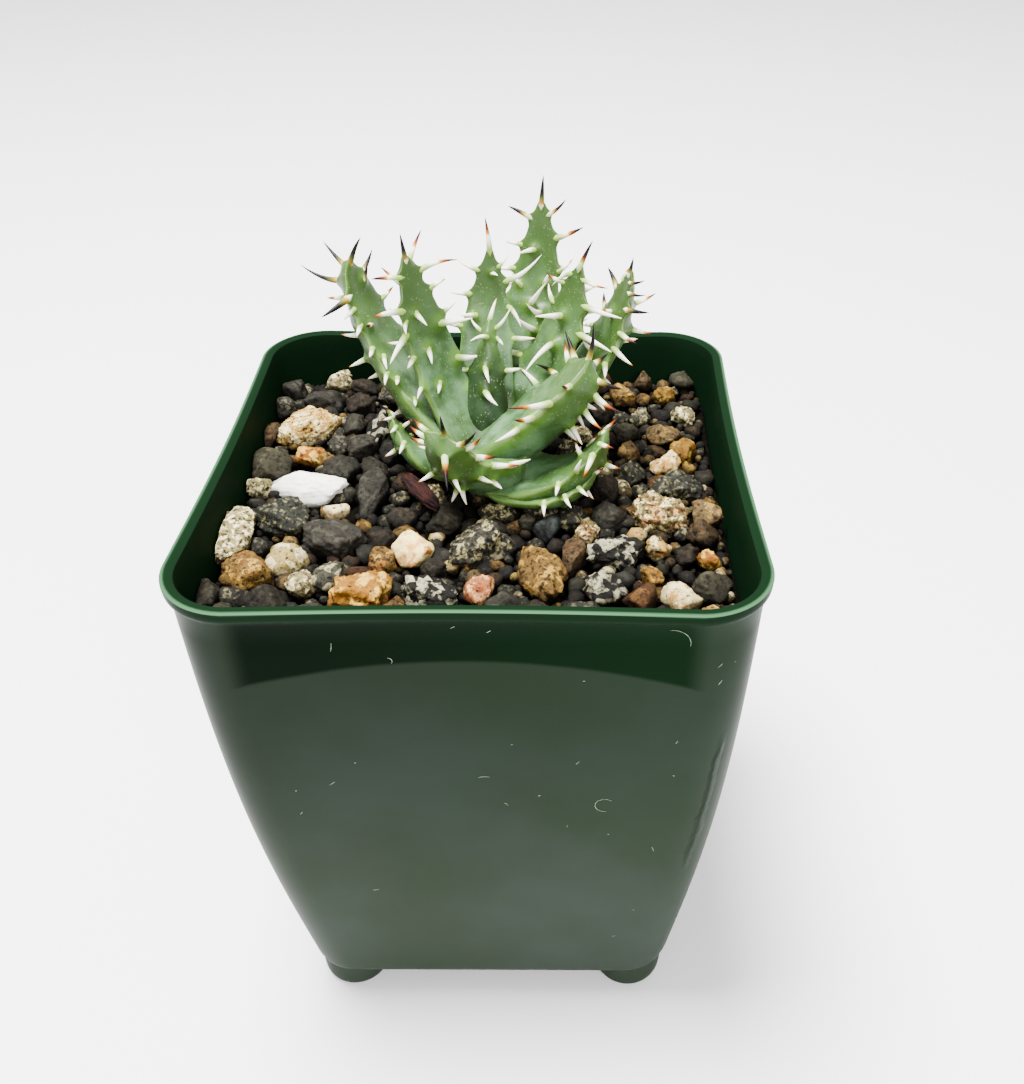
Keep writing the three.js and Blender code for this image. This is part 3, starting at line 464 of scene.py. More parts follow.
# %% Lint
FRONT_LINT = table("""
-16.4 82.1 1.6 75 .3, -9.2 80 1.5 60 2.6, -19.6 57.1 1.3 35 .2, -24.3 50.8 .7 50 .3, -24.3 56 .3 0 0,
-15.7 61.7 .3 0 0, -16.3 31.6 1.1 5 .3, 2.1 58.7 1.8 165 .9, 4.4 52.6 1 100 1.6, 18.6 53.9 6.2 150 4.6,
24.9 42.3 1.3 100 .3, 13.6 61.6 .9 40 .6, 30.9 79.6 .9 40 .2, 31.2 76.5 .9 50 .2, 24.6 86 4.8 5 -2.2,
14.3 77.2 .35 0 0, 5.1 65.3 .3 0 0, 26.5 66.1 .6 60 .2, 26.5 59.6 .3 0 0, 12.5 47.9 .4 80 0,
18.2 46.3 .3 0 0, 8.5 54.8 .5 10 .3, 19.8 18 .6 30 .3, 22.6 26.3 .3 0 0, -1.7 85.8 .7 20 .4,
2.6 85.1 .8 30 .2, 33 79.6 .3 0 0""")
THREAD_RADIUS, THREAD_STEPS, THREAD_SIDES = 0.035, 9, 5
LINT_ON_A_WALL = 12


def wall_depth(x, z):
    half, corner, bow = wall_size(z)
    past = max(abs(x) - (half - corner), 0)
    along = min(max(0.5 + x / (2 * (half - corner)), 0), 1)
    return half - bow * math.sin(math.pi * along) - corner + math.sqrt(max(corner ** 2 - past ** 2, 0))


def thread(x, z, length, turn, curl, quarter=0.0):
    way, rings = math.radians(turn), []
    for i in range(THREAD_STEPS):
        taper = math.sin(math.pi * (i + 0.6) / (THREAD_STEPS + 0.2)) ** 0.5 * THREAD_RADIUS
        middle = np.array([x, -wall_depth(x, z) - 0.02, z])
        side = np.array([-math.sin(way), 0, math.cos(way)])
        rings.append([middle + taper * (math.cos(a) * side + math.sin(a) * np.array([0, -1, 0]))
                      for a in round_turns(THREAD_SIDES)])
        x, z = x + math.cos(way) * length / THREAD_STEPS, z + math.sin(way) * length / THREAD_STEPS
        way += curl / THREAD_STEPS
    points, faces = skin(rings)
    return turned_level(points, quarter), faces


def lint_on_pot(rng):
    rows = list(FRONT_LINT)
    for quarter in (1, 2, 3):
        for _ in range(LINT_ON_A_WALL):
            rows.append((rng.uniform(-24, 24), rng.uniform(18, 82), rng.choice([0.3, 0.4, 0.9, 1.4]),
                         rng.uniform(0, 180), rng.uniform(0, 1.5), quarter * math.pi / 2))
    return make_piece("pot_lint", *merged([thread(*row) for row in rows]))


lint = Finish("pale_lint")
lint_tone = lint.blend(lint.between(lint.cloudy(0.5, 3), 0.35, 0.65), "#5c6854", "#98a089")
settle(lint_on_pot(np.random.default_rng(23)), lint.done(Base_Color=lint_tone, Roughness=0.8), "pot")

# %% [markdown]
# ## Repeatable draws
#
# Nature looks random, yet the same seed must always give the same plant, and the solid model must
# get the same stones. This small generator gives the same numbers in any language.

# %% Seeded draws
WORD = 0xFFFFFFFF


def draws_from(seed):
    state = seed

    def draw():
        nonlocal state
        state = (state + 0x6D2B79F5) & WORD
        t = ((state ^ (state >> 15)) * (state | 1)) & WORD
        t ^= (t + (((t ^ (t >> 7)) * (t | 61)) & WORD)) & WORD
        return ((t ^ (t >> 14)) & WORD) / (WORD + 1)

    return draw


first = draws_from(41)
print("first draws:", [round(first(), 4) for _ in range(3)])

# %% [markdown]
# ## The stones that can be told apart
#
# The dressing is mixed river gravel: white quartz, cream and orange iron-stained pieces, grey
# granite, and dark fine-grained stone. The larger ones are placed one by one. Each row holds the
# place, the length, width and height in millimetres, the turn in degrees and the kind of rock, and
# the twelve loose stones, which are solids of their own, have their name in front.

# %% Stone lists
LOOSE_STONES = table("""
stone_white -26.4 .4 12.4 7.6 5 -14 white, stone_dark_flecked -27.8 -7.4 9 8 5.4 -20 dark_flecked,
stone_dark_smooth -20 -13 9 6.8 5 -10 slate, stone_pale_granite -34.2 -11.4 6.4 13 5.6 -4 pale_granite,
stone_cream -29.4 17.4 11.4 8 5.6 16 cream, stone_orange -14.6 -25 8.6 8 6 8 orange,
stone_black_streaked -5.4 -25.4 9.6 6.6 5.4 -12 black_white,
stone_grey_granite 0 -13.9 10.2 8.8 6.4 24 grey_granite,
stone_tan_long 8.7 -20 12.4 6.4 5.4 -72 tan_speckled, stone_gold_grey 25.8 -6.8 9.6 7.8 5.8 6 gold_grey,
stone_black_speckled 19 -15.4 8.6 6.4 5.4 10 black_white,
stone_dark_green 29.3 1 9 6.4 5 -12 dark_flecked""")
BED_STONES = table("""
-27.2 8.8 5.5 4.6 3.8 20 orange, -22 5.4 5.6 6 4.2 -30 slate, -16.4 -1.6 4.8 11 5.6 -6 slate,
-17.4 16.6 5 12 5.8 -8 black_white, -33.4 6.4 7.6 8.4 5 10 olive, -35 15.4 3.6 6 4 0 brown,
-20.8 -6.2 3.9 3.6 3.6 0 white_cream, -25.6 -17.6 6 5.2 4.2 8 cream_yellow,
-30.6 -20.6 7 7.4 5 25 tan_speckled, -26.4 -26 6 6 4.2 40 olive_dark,
-22.8 -22.6 4.2 4.4 3.8 0 pale_granite, -19 -21 4.4 6.6 4.4 -12 white_grey,
-12.8 -18 4.2 4.6 4 15 tan_speckled, -13.4 -12.6 4.6 3.6 3.4 0 brown_dark,
-8.6 -15.4 6 6.4 4.8 20 white_orange, -11.2 -7.6 4.4 3.8 3.6 0 brown_dark,
-21.4 -29 6.4 4.6 3.8 0 slate, -31.8 -28.4 3.4 3.4 3 0 olive, -34.6 -25.4 3.8 5 4 0 olive_dark,
-5 -8 6 6 4.4 20 olive_dark, 2.6 -6 6.2 4.8 4 -12 grey_granite, .8 -23.6 4.4 5.6 4.4 10 pink,
6.6 -8.4 2.8 3 2.8 0 olive, 9.6 -9.4 4.4 5 3.8 0 blue_grey, 13.2 -8 5.4 5 4 15 dark_flecked,
14.8 -12 3.8 6 4 -14 gold_grey, 18.2 -7 5.4 5 4.2 8 slate, 32.4 -6.6 4.6 6 4.4 0 tan,
17.2 -22.8 5.6 6.6 4.8 20 black_white, 25 -14 3.8 4 3.4 0 cream, 28.8 -15.6 3.4 4 3.2 0 brown_dark,
31.8 -17 3.6 3.4 3.2 0 orange, 21.8 -25.6 4.8 5 4.2 0 rust, 23.8 -20.8 3.2 3.4 3 0 yellow,
27.2 -25.2 4.8 5 4.2 25 white_cream, 31.4 -22.6 5.4 5.4 4.2 -25 olive,
14.4 -28.6 6.2 4.4 3.8 0 grey_flecked, 4 -27 4.8 4.8 3.6 0 slate, 13.2 -17 3.4 6.4 4 -10 brown,
27.4 6.6 5 5.2 4.2 0 cream, 22.2 4.8 4.8 5.2 4 0 dark_flecked, 22 10.6 3.8 4 3.4 0 tan,
-34.4 30 5.4 5 4.2 0 slate, -27 33 5 4.4 4.4 20 pale_granite, -22.2 31 4.8 4 3.6 0 brown_dark,
-34.2 24.4 5.4 5 4.2 0 grey_flecked, -28.4 26.6 6.6 5 4.2 0 slate, -22 25.4 5.2 5 4.2 0 brown_dark,
-22 18.4 3.8 5.4 4 0 slate, -23.4 11.6 3.6 4.6 3.6 0 grey_flecked, -5.6 -19.6 3.6 3.6 3.2 0 olive_dark""")
PLACED_STONES = [row[1:] for row in LOOSE_STONES] + BED_STONES
print(len(LOOSE_STONES), "loose stones,", len(BED_STONES), "placed in the bed")

# %% [markdown]
# ## Kinds of rock
#
# A rock is a main colour, a second colour that shows as grains, how much of it there is, how coarse
# the grains are in millimetres, how many dark flecks it has and how far iron has stained it orange.
# Kept on each stone as values, they let one material paint them all, which is how a heap of mixed
# gravel stays cheap to render. A second list says how rough the broken faces of some kinds are.

# %% Rock table
ROCKS = {kind: values for kind, *values in table("""
white #fffdf4 #e6e0c8 .2 3 .03 0, white_cream #f0d89a #b08a44 .3 1.6 .25 .3,
white_grey #36342a #a39a74 .45 1.6 .5 0, white_orange #f2d890 #a8601a .32 2.2 .12 .45,
cream #c09a4c #f4dfa0 .45 1.6 .45 .2, cream_yellow #a08c54 #f2e2ac .45 1.8 .3 .35,
yellow #6f5117 #b8923a .4 1.2 .4 .3, orange #8a5a18 #dcb050 .42 1.3 .25 .55,
rust #372311 #53381a .45 1.2 .5 .5, tan #544328 #8a6e3a .4 1.3 .5 .25,
tan_speckled #63491f #a57f34 .4 1.1 .55 .2, gold_grey #6e5f38 #eedc9c .42 .9 .85 .6,
pink #9f5f38 #f0b878 .35 1.2 .35 .1, brown #372a19 #4d3b22 .4 1 .5 .2,
brown_dark #1b1710 #2d251a .4 .9 .4 .1, olive #2a281c #3d3a2c .35 1.4 .35 .1,
olive_dark #1c1911 #2c291f .4 .9 .4 .1, grey_flecked #26241d #5a5745 .38 .6 .6 0,
grey_granite #36342a #a89e70 .42 .8 .8 .05, pale_granite #7c7048 #f2e2a8 .5 .9 .75 .1,
blue_grey #252826 #1c1d1a .35 1.4 .3 0, slate #24221b #36342b .4 1.1 .3 0,
dark_flecked #25251f #767050 .3 .6 .5 .1, black_white #12110d #a39e80 .42 1.2 .3 0""")}
ROUGH = dict(table("""white .8, slate .8, blue_grey .6, cream_yellow .9, olive .8, gold_grey 1.7,
black_white 1.6, grey_granite 1.6, pale_granite 1.4, orange 1.4, cream 1.3"""))
DARK_KINDS = "slate dark_flecked brown_dark olive_dark grey_granite brown grey_flecked".split()
LIGHT_KINDS = "cream pale_granite tan gold_grey white_grey yellow rust tan_speckled olive".split()


def any_kind(rng, dark_share):
    return rng.choice(DARK_KINDS if rng.random() < dark_share else LIGHT_KINDS)


print(len(ROCKS), "kinds of rock")

# %% [markdown]
# ## How a pebble gets its shape
#
# River gravel is broken rock with its edges rubbed off. A noisy ball looks like a potato, so each
# stone starts as a ball that is cut by a few soft planes, which leaves flats with round edges
# between them, and only then gets a little noise. The listed length, width and height stay exact.

# %% Pebble maker
def ball(level):
    work = bmesh.new()
    bmesh.ops.create_icosphere(work, subdivisions=level, radius=1)
    points = np.array([v.co for v in work.verts])
    faces = [[v.index for v in f.verts] for f in work.faces]
    work.free()
    return points, faces


FINE, MEDIUM, COARSE = 5, 4, 2
BALLS = {level: ball(level) for level in (FINE, MEDIUM, COARSE)}
CUTS, NEAREST_CUT, FARTHEST_CUT, EDGE = 13, 0.58, 0.92, 38
SWELLS = ((1.6, 0.06, False), (3.2, 0.09, True), (7.0, 0.05, True), (14.0, 0.018, True))
WHOLE_TURN = 6.28


def pebble(size, turn, rng, level, rough=1.0):
    sphere, faces = BALLS[level]
    reach = np.full(len(sphere), 1.0)
    for _ in range(CUTS):
        facing = np.maximum(sphere @ direction_of(rng.normal(size=3)), 1e-3)
        limit = np.minimum(rng.uniform(NEAREST_CUT, FARTHEST_CUT) / facing, 3)
        reach = -np.log(np.exp(-EDGE * reach) + np.exp(-EDGE * limit)) / EDGE
    points = sphere * reach[:, None]
    for scale, amount, craggy in SWELLS:
        waves = rng.normal(size=(5, 3)) * scale
        swing = np.sin(sphere @ waves.T + rng.uniform(0, WHOLE_TURN, 5))
        bumps = 3 * (0.64 - np.abs(swing).mean(1)) if craggy else swing.sum(1) / 2.2
        points *= 1 + rough * amount * bumps[:, None]
    low, high = points.min(0), points.max(0)
    points = (points - (low + high) / 2) / (high - low) * np.asarray(size)
    return turned_level(points, math.radians(turn)), faces


shown = pebble((6, 5, 4), 0, np.random.default_rng(1), COARSE)[0]
print("a pebble measures", np.round(np.ptp(shown, axis=0), 2))

# %% [markdown]
# ## Where the other stones lie
#
# A real bed has no empty rows, so a loose grid of stones fills it between the placed ones. The grid
# is shaken by a seeded draw, which is the same as in the solid model, and a place is left out where a
# listed stone is too near. Round the stem the gravel lies a little lower.

# %% Where the stones lie
GRAVEL_LEVEL, BED_TOP = 81, 80.4
STEM = (0, 4)
HOLLOW_RADIUS, HOLLOW_DEPTH = 9, 1.4
FILL_SPACING, FILL_SHAKE, FILL_MARGIN, FILL_SEED = 6.5, 1.6, 3.4, 41
ROW_STEP = FILL_SPACING * 0.86


def from_stem(x, y):
    return math.hypot(x - STEM[0], y - STEM[1])


def fill_places(draw):
    reach = RIM_WIDTH / 2 - WALL - FILL_MARGIN
    places, row, y = [], 0, -reach
    while y <= reach:
        x = -reach + (row % 2) * FILL_SPACING * 0.5
        while x <= reach:
            at = (x + FILL_SHAKE * (draw() - 0.5), y + FILL_SHAKE * (draw() - 0.5))
            size = (3.6 + 2.4 * draw(), 3.4 + 2 * draw(), 3.2 + 1.4 * draw())
            turn = 180 * draw()
            if all(math.hypot(at[0] - s[0], at[1] - s[1]) > 0.36 * math.hypot(s[2], s[3]) + 0.2 * size[0]
                   for s in PLACED_STONES):
                places.append((*at, *size, turn))
            x += FILL_SPACING
        row, y = row + 1, y + ROW_STEP
    return places


fill_stones = fill_places(draws_from(FILL_SEED))
print(len(fill_stones), "stones fill the bed between the placed ones")

# %% [markdown]
# ## Keeping stones inside the pot
#
# Stones rest against the pot's wall but never in it. Points that would pass the wall are pulled back
# to just inside it, along the nearest way, which flattens a stone where it touches, as packing does.

# %% Wall limit
def inside_pot(points, gap=0.3):
    points = np.array(points, float)
    half, corner, bow = wall_size(points[:, 2])
    half, corner = half - WALL - gap, corner - WALL - gap
    for own, other in ((0, 1), (1, 0)):
        along = np.clip(0.5 + points[:, other] / (2 * (half - corner)), 0, 1)
        limit = half - bow * np.sin(math.pi * along)
        points[:, own] = np.clip(points[:, own], -limit, limit)
    inner = (half - corner)[:, None]
    past = np.maximum(np.abs(points[:, :2]) - inner, 0)
    far = np.hypot(past[:, 0], past[:, 1])
    both = (past[:, 0] > 0) & (past[:, 1] > 0) & (far > corner)
    scale = np.where(both, corner / np.maximum(far, 1e-6), 1)
    pulled = np.sign(points[:, :2]) * (inner + past * scale[:, None])
    points[both, :2] = pulled[both]
    return points


print("a corner point comes in to", np.round(inside_pot([[37, 37, 82]]), 2))

# %% [markdown]
# ## A heap of stones
#
# Hundreds of stones would be slow as hundreds of objects, so a `Heap` gathers them in one mesh. Each
# stone's rock values go with its points, and vary a little, as they do between two pebbles of one
# kind of rock.

# %% Rock values on a stone
def rock_values(kind, count, rng):
    main, second, share, grain, flecks, iron = ROCKS[kind]
    shift = rng.uniform(0.86, 1.14)
    tint = 1 + rng.uniform(-0.04, 0.04, 3)
    values = dict(rock=np.array(colour(main)[:3]) * shift * tint, fleck=np.array(colour(second)[:3]) * shift,
                  share=share, grain=grain, flecks=flecks * rng.uniform(0.6, 1.2),
                  iron=iron * rng.uniform(0.3, 1.3), own=rng.uniform(0, 60))
    return {name: np.broadcast_to(value, (count, *np.shape(value))) for name, value in values.items()}


def joined(values):
    return {name: np.concatenate([own[name] for own in values]) for name in values[0]}


def stone_z(height, x, y):
    return GRAVEL_LEVEL + 0.06 * height - (HOLLOW_DEPTH if from_stem(x, y) < HOLLOW_RADIUS else 0)


class Heap:
    def __init__(self):
        self.parts, self.values = [], []

    def put(self, x, y, length, width, height, turn, kind, rng, level, z=None):
        points, faces = pebble((length, width, height), turn, rng, level, ROUGH.get(kind, 1.0))
        points = inside_pot(points + (x, y, stone_z(height, x, y) if z is None else z))
        self.parts.append((points, faces))
        self.values.append(rock_values(kind, len(points), rng))

    def piece(self, name):
        made = make_piece(name, *merged(self.parts))
        keep_values(made, **joined(self.values))
        return made


print("a stone rises", round(stone_z(5, *STEM) - BED_TOP, 2), "mm over the bed at the stem")

# %% [markdown]
# ## Dry stone
#
# One material paints every stone from the values kept on it. A coarse noise marks the second
# mineral and a cell pattern cuts it into crystals. A second noise digs pits, and paints them darker
# as well, as painted shade and dirt, and paints the raised parts between them lighter, as a painted
# highlight. Low down, between the stones, all go dark, as painted shade.

# %% Stone material
GAP_SHADE_UNDER, GAP_SHADE_OVER = 0.0797, 0.0836


def dry_stone():
    stone = Finish("dry_stone")
    between, blend, noise, raised = stone.between, stone.blend, stone.noise, stone.raised
    rock, fleck = (stone.read(name, "Vector") for name in ("rock", "fleck"))
    share, grain, flecks, iron, own = (stone.read(n) for n in ("share", "grain", "flecks", "iron", "own"))
    spot = stone.scaled_and_shifted(stone.place, 1 / MM, own)

    def cells(at, scale):
        tint = stone.add("ShaderNodeTexVoronoi", out="Color", Vector=at, Scale=scale)
        return stone.add("ShaderNodeSeparateColor", n0=tint)

    sized = stone.vector("SCALE", spot, Scale=1.0 / grain)
    mixed = cells(sized, 1.1) * 0.35 + noise(sized, 0.8, 5.0, 0.62) * 0.65
    mask = between((mixed - (0.68 - share * 0.42)) * 8.0, 0.0, 1.0)
    tone = blend(mask * 0.9, rock, fleck)
    stain = noise(spot, 0.45, 4.0, 0.6) + iron * 0.3
    tone = blend(between(stain, 0.6, 0.78, 0.0, 0.75), tone, "#c77b2a", "MULTIPLY")
    pits, fine = noise(spot, 1.3, 6.0, 0.72), noise(spot, 4.2, 3.0, 0.6)
    dark = between(flecks * 0.34 - cells(spot, 2.6), 0.0, 0.03) * between(pits, 0.62, 0.5)
    tone = blend(dark * 0.85, tone, "#14110c")
    shade_and_dirt = stone.maths("MINIMUM", flecks * 2.0 + 0.15, 1.0)
    # painted shade and dirt: pits are painted darker
    shade = between(pits, 0.52, 0.36, 0.0, 0.75) + between(fine, 0.55, 0.4, 0.0, 0.3)
    tone = blend(shade * shade_and_dirt, tone, "#3a3022", "MULTIPLY")
    # painted highlight: raised parts between the pits are painted lighter
    tone = blend(between(pits, 0.56, 0.7, 0.0, 0.3), tone, "#fff6d8", "SOFT_LIGHT")
    # painted shade: low down, between the stones, all go dark
    tone = blend(between(stone.split(stone.place)[2], GAP_SHADE_UNDER, GAP_SHADE_OVER, 0.03, 1.0), "#050403", tone)
    bump = raised(pits, 0.55, 0.7, Normal=raised(mixed, 0.2, 0.4))
    bump = raised(fine, 0.1, 0.5, Normal=bump)
    return stone.done(Base_Color=tone, Roughness=fine * 0.3 + 0.5, Normal=bump, Specular_IOR_Level=0.1)


stone_finish = dry_stone()
print("stone finish has", len(stone_finish.node_tree.nodes), "nodes")

# %% [markdown]
# ## Laying the stones
#
# The twelve loose stones are pieces of their own, since each is a solid of its own. All others are
# one heap. Dark kinds are drawn more often on the left of the bed, as in the photograph.

# %% Loose stones and bed stones
rng = np.random.default_rng(11)
for name, *stone in LOOSE_STONES:
    heap = Heap()
    heap.put(*stone, rng, FINE)
    settle(heap.piece(name + "_fine"), stone_finish, name, name)

heap = Heap()
for stone in BED_STONES:
    heap.put(*stone, rng, MEDIUM)
for stone in fill_stones:
    heap.put(*stone, any_kind(rng, 0.66 if stone[0] < 6 else 0.42), rng, MEDIUM)
settle(heap.piece("gravel_stones"), stone_finish, "gravel", "gravel")

# %% [markdown]
# ## Small stones between them
#
# Smaller stones slip between the large ones. `gaps` draws a place and a size many times, and keeps
# them only where nothing lies yet, which packs the bed without overlaps that show. `lying` lists all.

# %% Small stones
SPREAD = 0.85
lying = [(s[0], s[1], SPREAD * math.sqrt(s[2] * s[3])) for s in PLACED_STONES] + [s[:3] for s in fill_stones]
SMALL_GAPS = dict(tries=2600, reach=33.6, sizes=(2.2, 4.2), clearance=0.4, stem_gap=4.5)
SMALL_SINK = 0.75


def gaps(rng, tries, reach, sizes, clearance, stem_gap):
    for _ in range(tries):
        x, y = rng.uniform(-reach, reach, 2)
        size = rng.uniform(*sizes)
        clear = all(math.hypot(x - at_x, y - at_y) > clearance * (size + wide) for at_x, at_y, wide in lying)
        if clear and from_stem(x, y) > stem_gap:
            lying.append((x, y, size))
            yield x, y, size


def small_stones(rng):
    heap = Heap()
    for x, y, size in gaps(rng, **SMALL_GAPS):
        kind = any_kind(rng, 0.7 if x < 4 else 0.5)
        shape = size * rng.uniform((0.9, 0.8, 0.75), (1.25, 1.05, 1))
        heap.put(x, y, *shape, rng.uniform(0, 180), kind, rng, COARSE, stone_z(0, x, y) - SMALL_SINK)
    return heap


heap = small_stones(np.random.default_rng(31))
print(len(heap.parts), "small stones")
settle(heap.piece("gravel_small_stones"), stone_finish, "gravel", "gravel")

# %% [markdown]
# ## Recipes for repeats
#
# Geometry Nodes suit things that repeat. A `Recipe` is a tree with named inputs. It sets a shape on
# every point, by the turn and size kept there, makes the copies real, moves their points and gives
# them the finish. `grow` runs it on a piece and leaves a plain mesh.

# %% Recipe helper
class Recipe(Graph):
    def __init__(self, name, **settings):
        super().__init__(bpy.data.node_groups.new(name, "GeometryNodeTree"))
        self.socket("Geometry", "Geometry")
        for label, value in settings.items():
            kind = "Int" if isinstance(value, int) else "Float"
            self.socket(label.replace("_", " "), kind).default_value = value
        self.socket("Finish", "Material")
        self.socket("Geometry", "Geometry", "OUTPUT")
        self.inputs = self.tree.nodes.new("NodeGroupInput").outputs

    def socket(self, label, kind, way="INPUT"):
        return self.tree.interface.new_socket(label, in_out=way, socket_type="NodeSocket" + kind)

    def given(self, label):
        return Value(self, self.inputs[label])

    def named(self, name, kind="FLOAT_VECTOR"):
        return self.add("GeometryNodeInputNamedAttribute", {"data_type": kind}, Name=name)

    def set_on_points(self, shape, rotation):
        copies = self.add("GeometryNodeInstanceOnPoints", Points=self.given("Geometry"), Instance=shape,
                          Rotation=rotation, Scale=self.named("size"))
        return self.add("GeometryNodeRealizeInstances", Geometry=copies)

    def finished(self, shapes, direction, length):
        push = self.vector("SCALE", direction, Scale=length)
        moved = self.add("GeometryNodeSetPosition", Geometry=shapes, Offset=push)
        smooth = self.add("GeometryNodeSetShadeSmooth", Geometry=moved)
        done = self.add("GeometryNodeSetMaterial", Geometry=smooth, Material=self.given("Finish"))
        self.plug(done, self.tree.nodes.new("NodeGroupOutput").inputs[0])
        return self.tree


def grow(piece, tree, **inputs):
    step = piece.modifiers.new("grow", "NODES")
    step.node_group = tree
    keys = {item.name: item.identifier for item in tree.interface.items_tree if item.in_out == "INPUT"}
    for name, value in inputs.items():
        step[keys[name.replace("_", " ")]] = value
    make_plain(piece)
    return piece


print("a recipe knows", ", ".join(word for word in vars(Recipe) if word[0] != "_"))

# %% [markdown]
# ## Grit between the stones
#
# Small chips fill every gap. There are hundreds, so they are scattered by Geometry Nodes: points
# carry each chip's size, turn and rock values, a low ball with a few dozen faces is set on each
# point, and a noise that differs from chip to chip dents it.

# %% Grit tree
CHIP = dict(Sides=8, Bands=6, Dent_depth=0.3)
DENTS_PER_METRE = 330.0


def chip_tree():
    chips = Recipe("scattered_chips", **CHIP)
    chip = chips.add("GeometryNodeMeshUVSphere", Radius=0.5, Segments=chips.given("Sides"),
                     Rings=chips.given("Bands"))
    real = chips.set_on_points(chip, chips.add("FunctionNodeEulerToRotation", Euler=chips.named("turn")))
    at = chips.add("GeometryNodeInputPosition")
    where = chips.scaled_and_shifted(at, DENTS_PER_METRE, chips.named("own", "FLOAT"))
    dent = chips.add("ShaderNodeTexNoise", Vector=where, Scale=1.0, Detail=1.0) - 0.5
    depth = dent * chips.given("Dent depth") * chips.named("reach", "FLOAT")
    return chips.finished(real, chips.add("GeometryNodeInputNormal"), depth)


chip_recipe = chip_tree()
print("chip tree has", len(chip_recipe.nodes), "nodes")

# %% [markdown]
# ## Scattering it
#
# The points are drawn as the small stones were, but finer and more of them. Each stays its own size
# away from the wall, so that no chip pokes through the plastic.

# %% Scatter the grit
GRIT_GAPS = dict(tries=3600, reach=35, sizes=(1.0, 2.2), clearance=0.36, stem_gap=3.4)
GRIT_SINK = 0.6


def scatter_grit(rng):
    points = np.array(list(gaps(rng, **GRIT_GAPS)))
    sizes = points[:, 2].copy()
    shapes = [size * rng.uniform((0.9, 0.8, 0.7), (1.3, 1.1, 1)) for size in sizes]
    turns, kinds = zip(*[(rng.uniform(0, WHOLE_TURN, 3), any_kind(rng, 0.6 if x < 6 else 0.4))
                         for x, _, _ in points])
    low = np.array([from_stem(x, y) < HOLLOW_RADIUS for x, y, _ in points])
    points[:, 2] = BED_TOP - GRIT_SINK + rng.uniform(-0.4, 0.5, len(points)) - HOLLOW_DEPTH * low
    points = [inside_pot([point], 0.4 + 0.75 * size)[0] for point, size in zip(points, sizes)]
    grit = make_piece("gravel_grit", points, [])
    keep_values(grit, size=np.array(shapes) * MM, turn=turns, reach=sizes * MM,
                **joined([rock_values(kind, 1, rng) for kind in kinds]))
    return grit


grit = scatter_grit(np.random.default_rng(5))
print(len(grit.data.vertices), "chips of grit")
grow(grit, chip_recipe, Finish=stone_finish, **CHIP)
settle(grit, stone_finish, "gravel", "gravel")

# %% [markdown]
# ## The ground under the stones
#
# Between the chips the eye meets the mix and sand under them. A low bumpy slab just under the stones
# is enough, since only its gaps show. It stands for the damp mix and sand, and is painted near black,
# darker than the mix itself, as painted shade in the gaps.

# %% Bed
def bed_rings():
    low = [(74.35, 0.3), (76, 0.3), (77.6, 0.3), (BED_TOP - 1.6, 0.3), (BED_TOP - 1.3, 0.8)]
    rings = [wall_ring(z, WALL + gap) for z, gap in low]
    for share in (0.85, 0.7, 0.5, 0.3, 0.15):
        ring = np.array(wall_ring(BED_TOP, WALL + 0.8)) * (share, share, 1)
        x, y, _ = ring.T
        near = np.clip(1.4 - np.hypot(x - STEM[0], y - STEM[1]) / HOLLOW_RADIUS, 0, 1)
        ring[:, 2] = BED_TOP - 1.3 - HOLLOW_DEPTH * near + 0.3 * np.sin(x * 1.3) * np.sin(y * 1.1)
        rings.append(ring)
    return rings


# painted shade: the slab is painted near black, darker than the mix
bed = Finish("dark_bed")
bed_finish = bed.grained(bed.cloudy(0.8, 5, 0.7), (0.4, 0.7), ("#060504", "#14100b"), 1.2, 1.0,
                         Roughness=0.95, Specular_IOR_Level=0.03)
settle(make_piece("gravel_bed", *skin(bed_rings())), bed_finish, "gravel", "gravel")

# %% [markdown]
# ## Potting mix and stem
#
# These solids keep their shape from the packed model: the mix is hidden by the gravel and the stem by
# the leaves. They still get real finishes, because they show through the drain holes and between the
# leaf bases.

# %% Mix and stem finishes
mix, stem = Finish("damp_potting_mix"), Finish("pale_stem")
mix_finish = mix.grained(mix.cloudy(1.6, 6, 0.7), (0.35, 0.7), ("#1c140d", "#4b3826"), 0.8, 0.9,
                         Roughness=0.95)
stem_finish = stem.grained(stem.cloudy(1.1, 3, 0.5, (0.4, 0.4, 1.6)), (0.35, 0.7), ("#6f7146", "#9a9468"),
                           0.2, 0.6, Roughness=0.7)
for node, finish in (("potting_mix", mix_finish), ("stem_and_roots", stem_finish)):
    dress(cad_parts[node], finish)
    print(node, "keeps its solid")

# %% [markdown]
# ## Bark chip
#
# A red-brown sliver of bark lies left of the stem. It is a bent plate with torn ends, lofted from
# flat rings with many ragged sides. Long fibres run along it, so the finish's noise is stretched
# along the chip, after a turn to its direction.

# %% Bark
BARK_START, BARK_END = np.array([-12.2, 1.2, 83.2]), np.array([-5.8, -8.2, 83.2])
BARK_TURN, BARK_SIDES, BARK_RINGS = 0.97, 48, 40
BARK_HALF_WIDTH = ([0, 0.12, 0.3, 0.65, 0.9, 1], [0.3, 0.9, 1.25, 1.35, 0.8, 0.3])


def squarish(value):
    return np.sign(value) * abs(value) ** 0.6


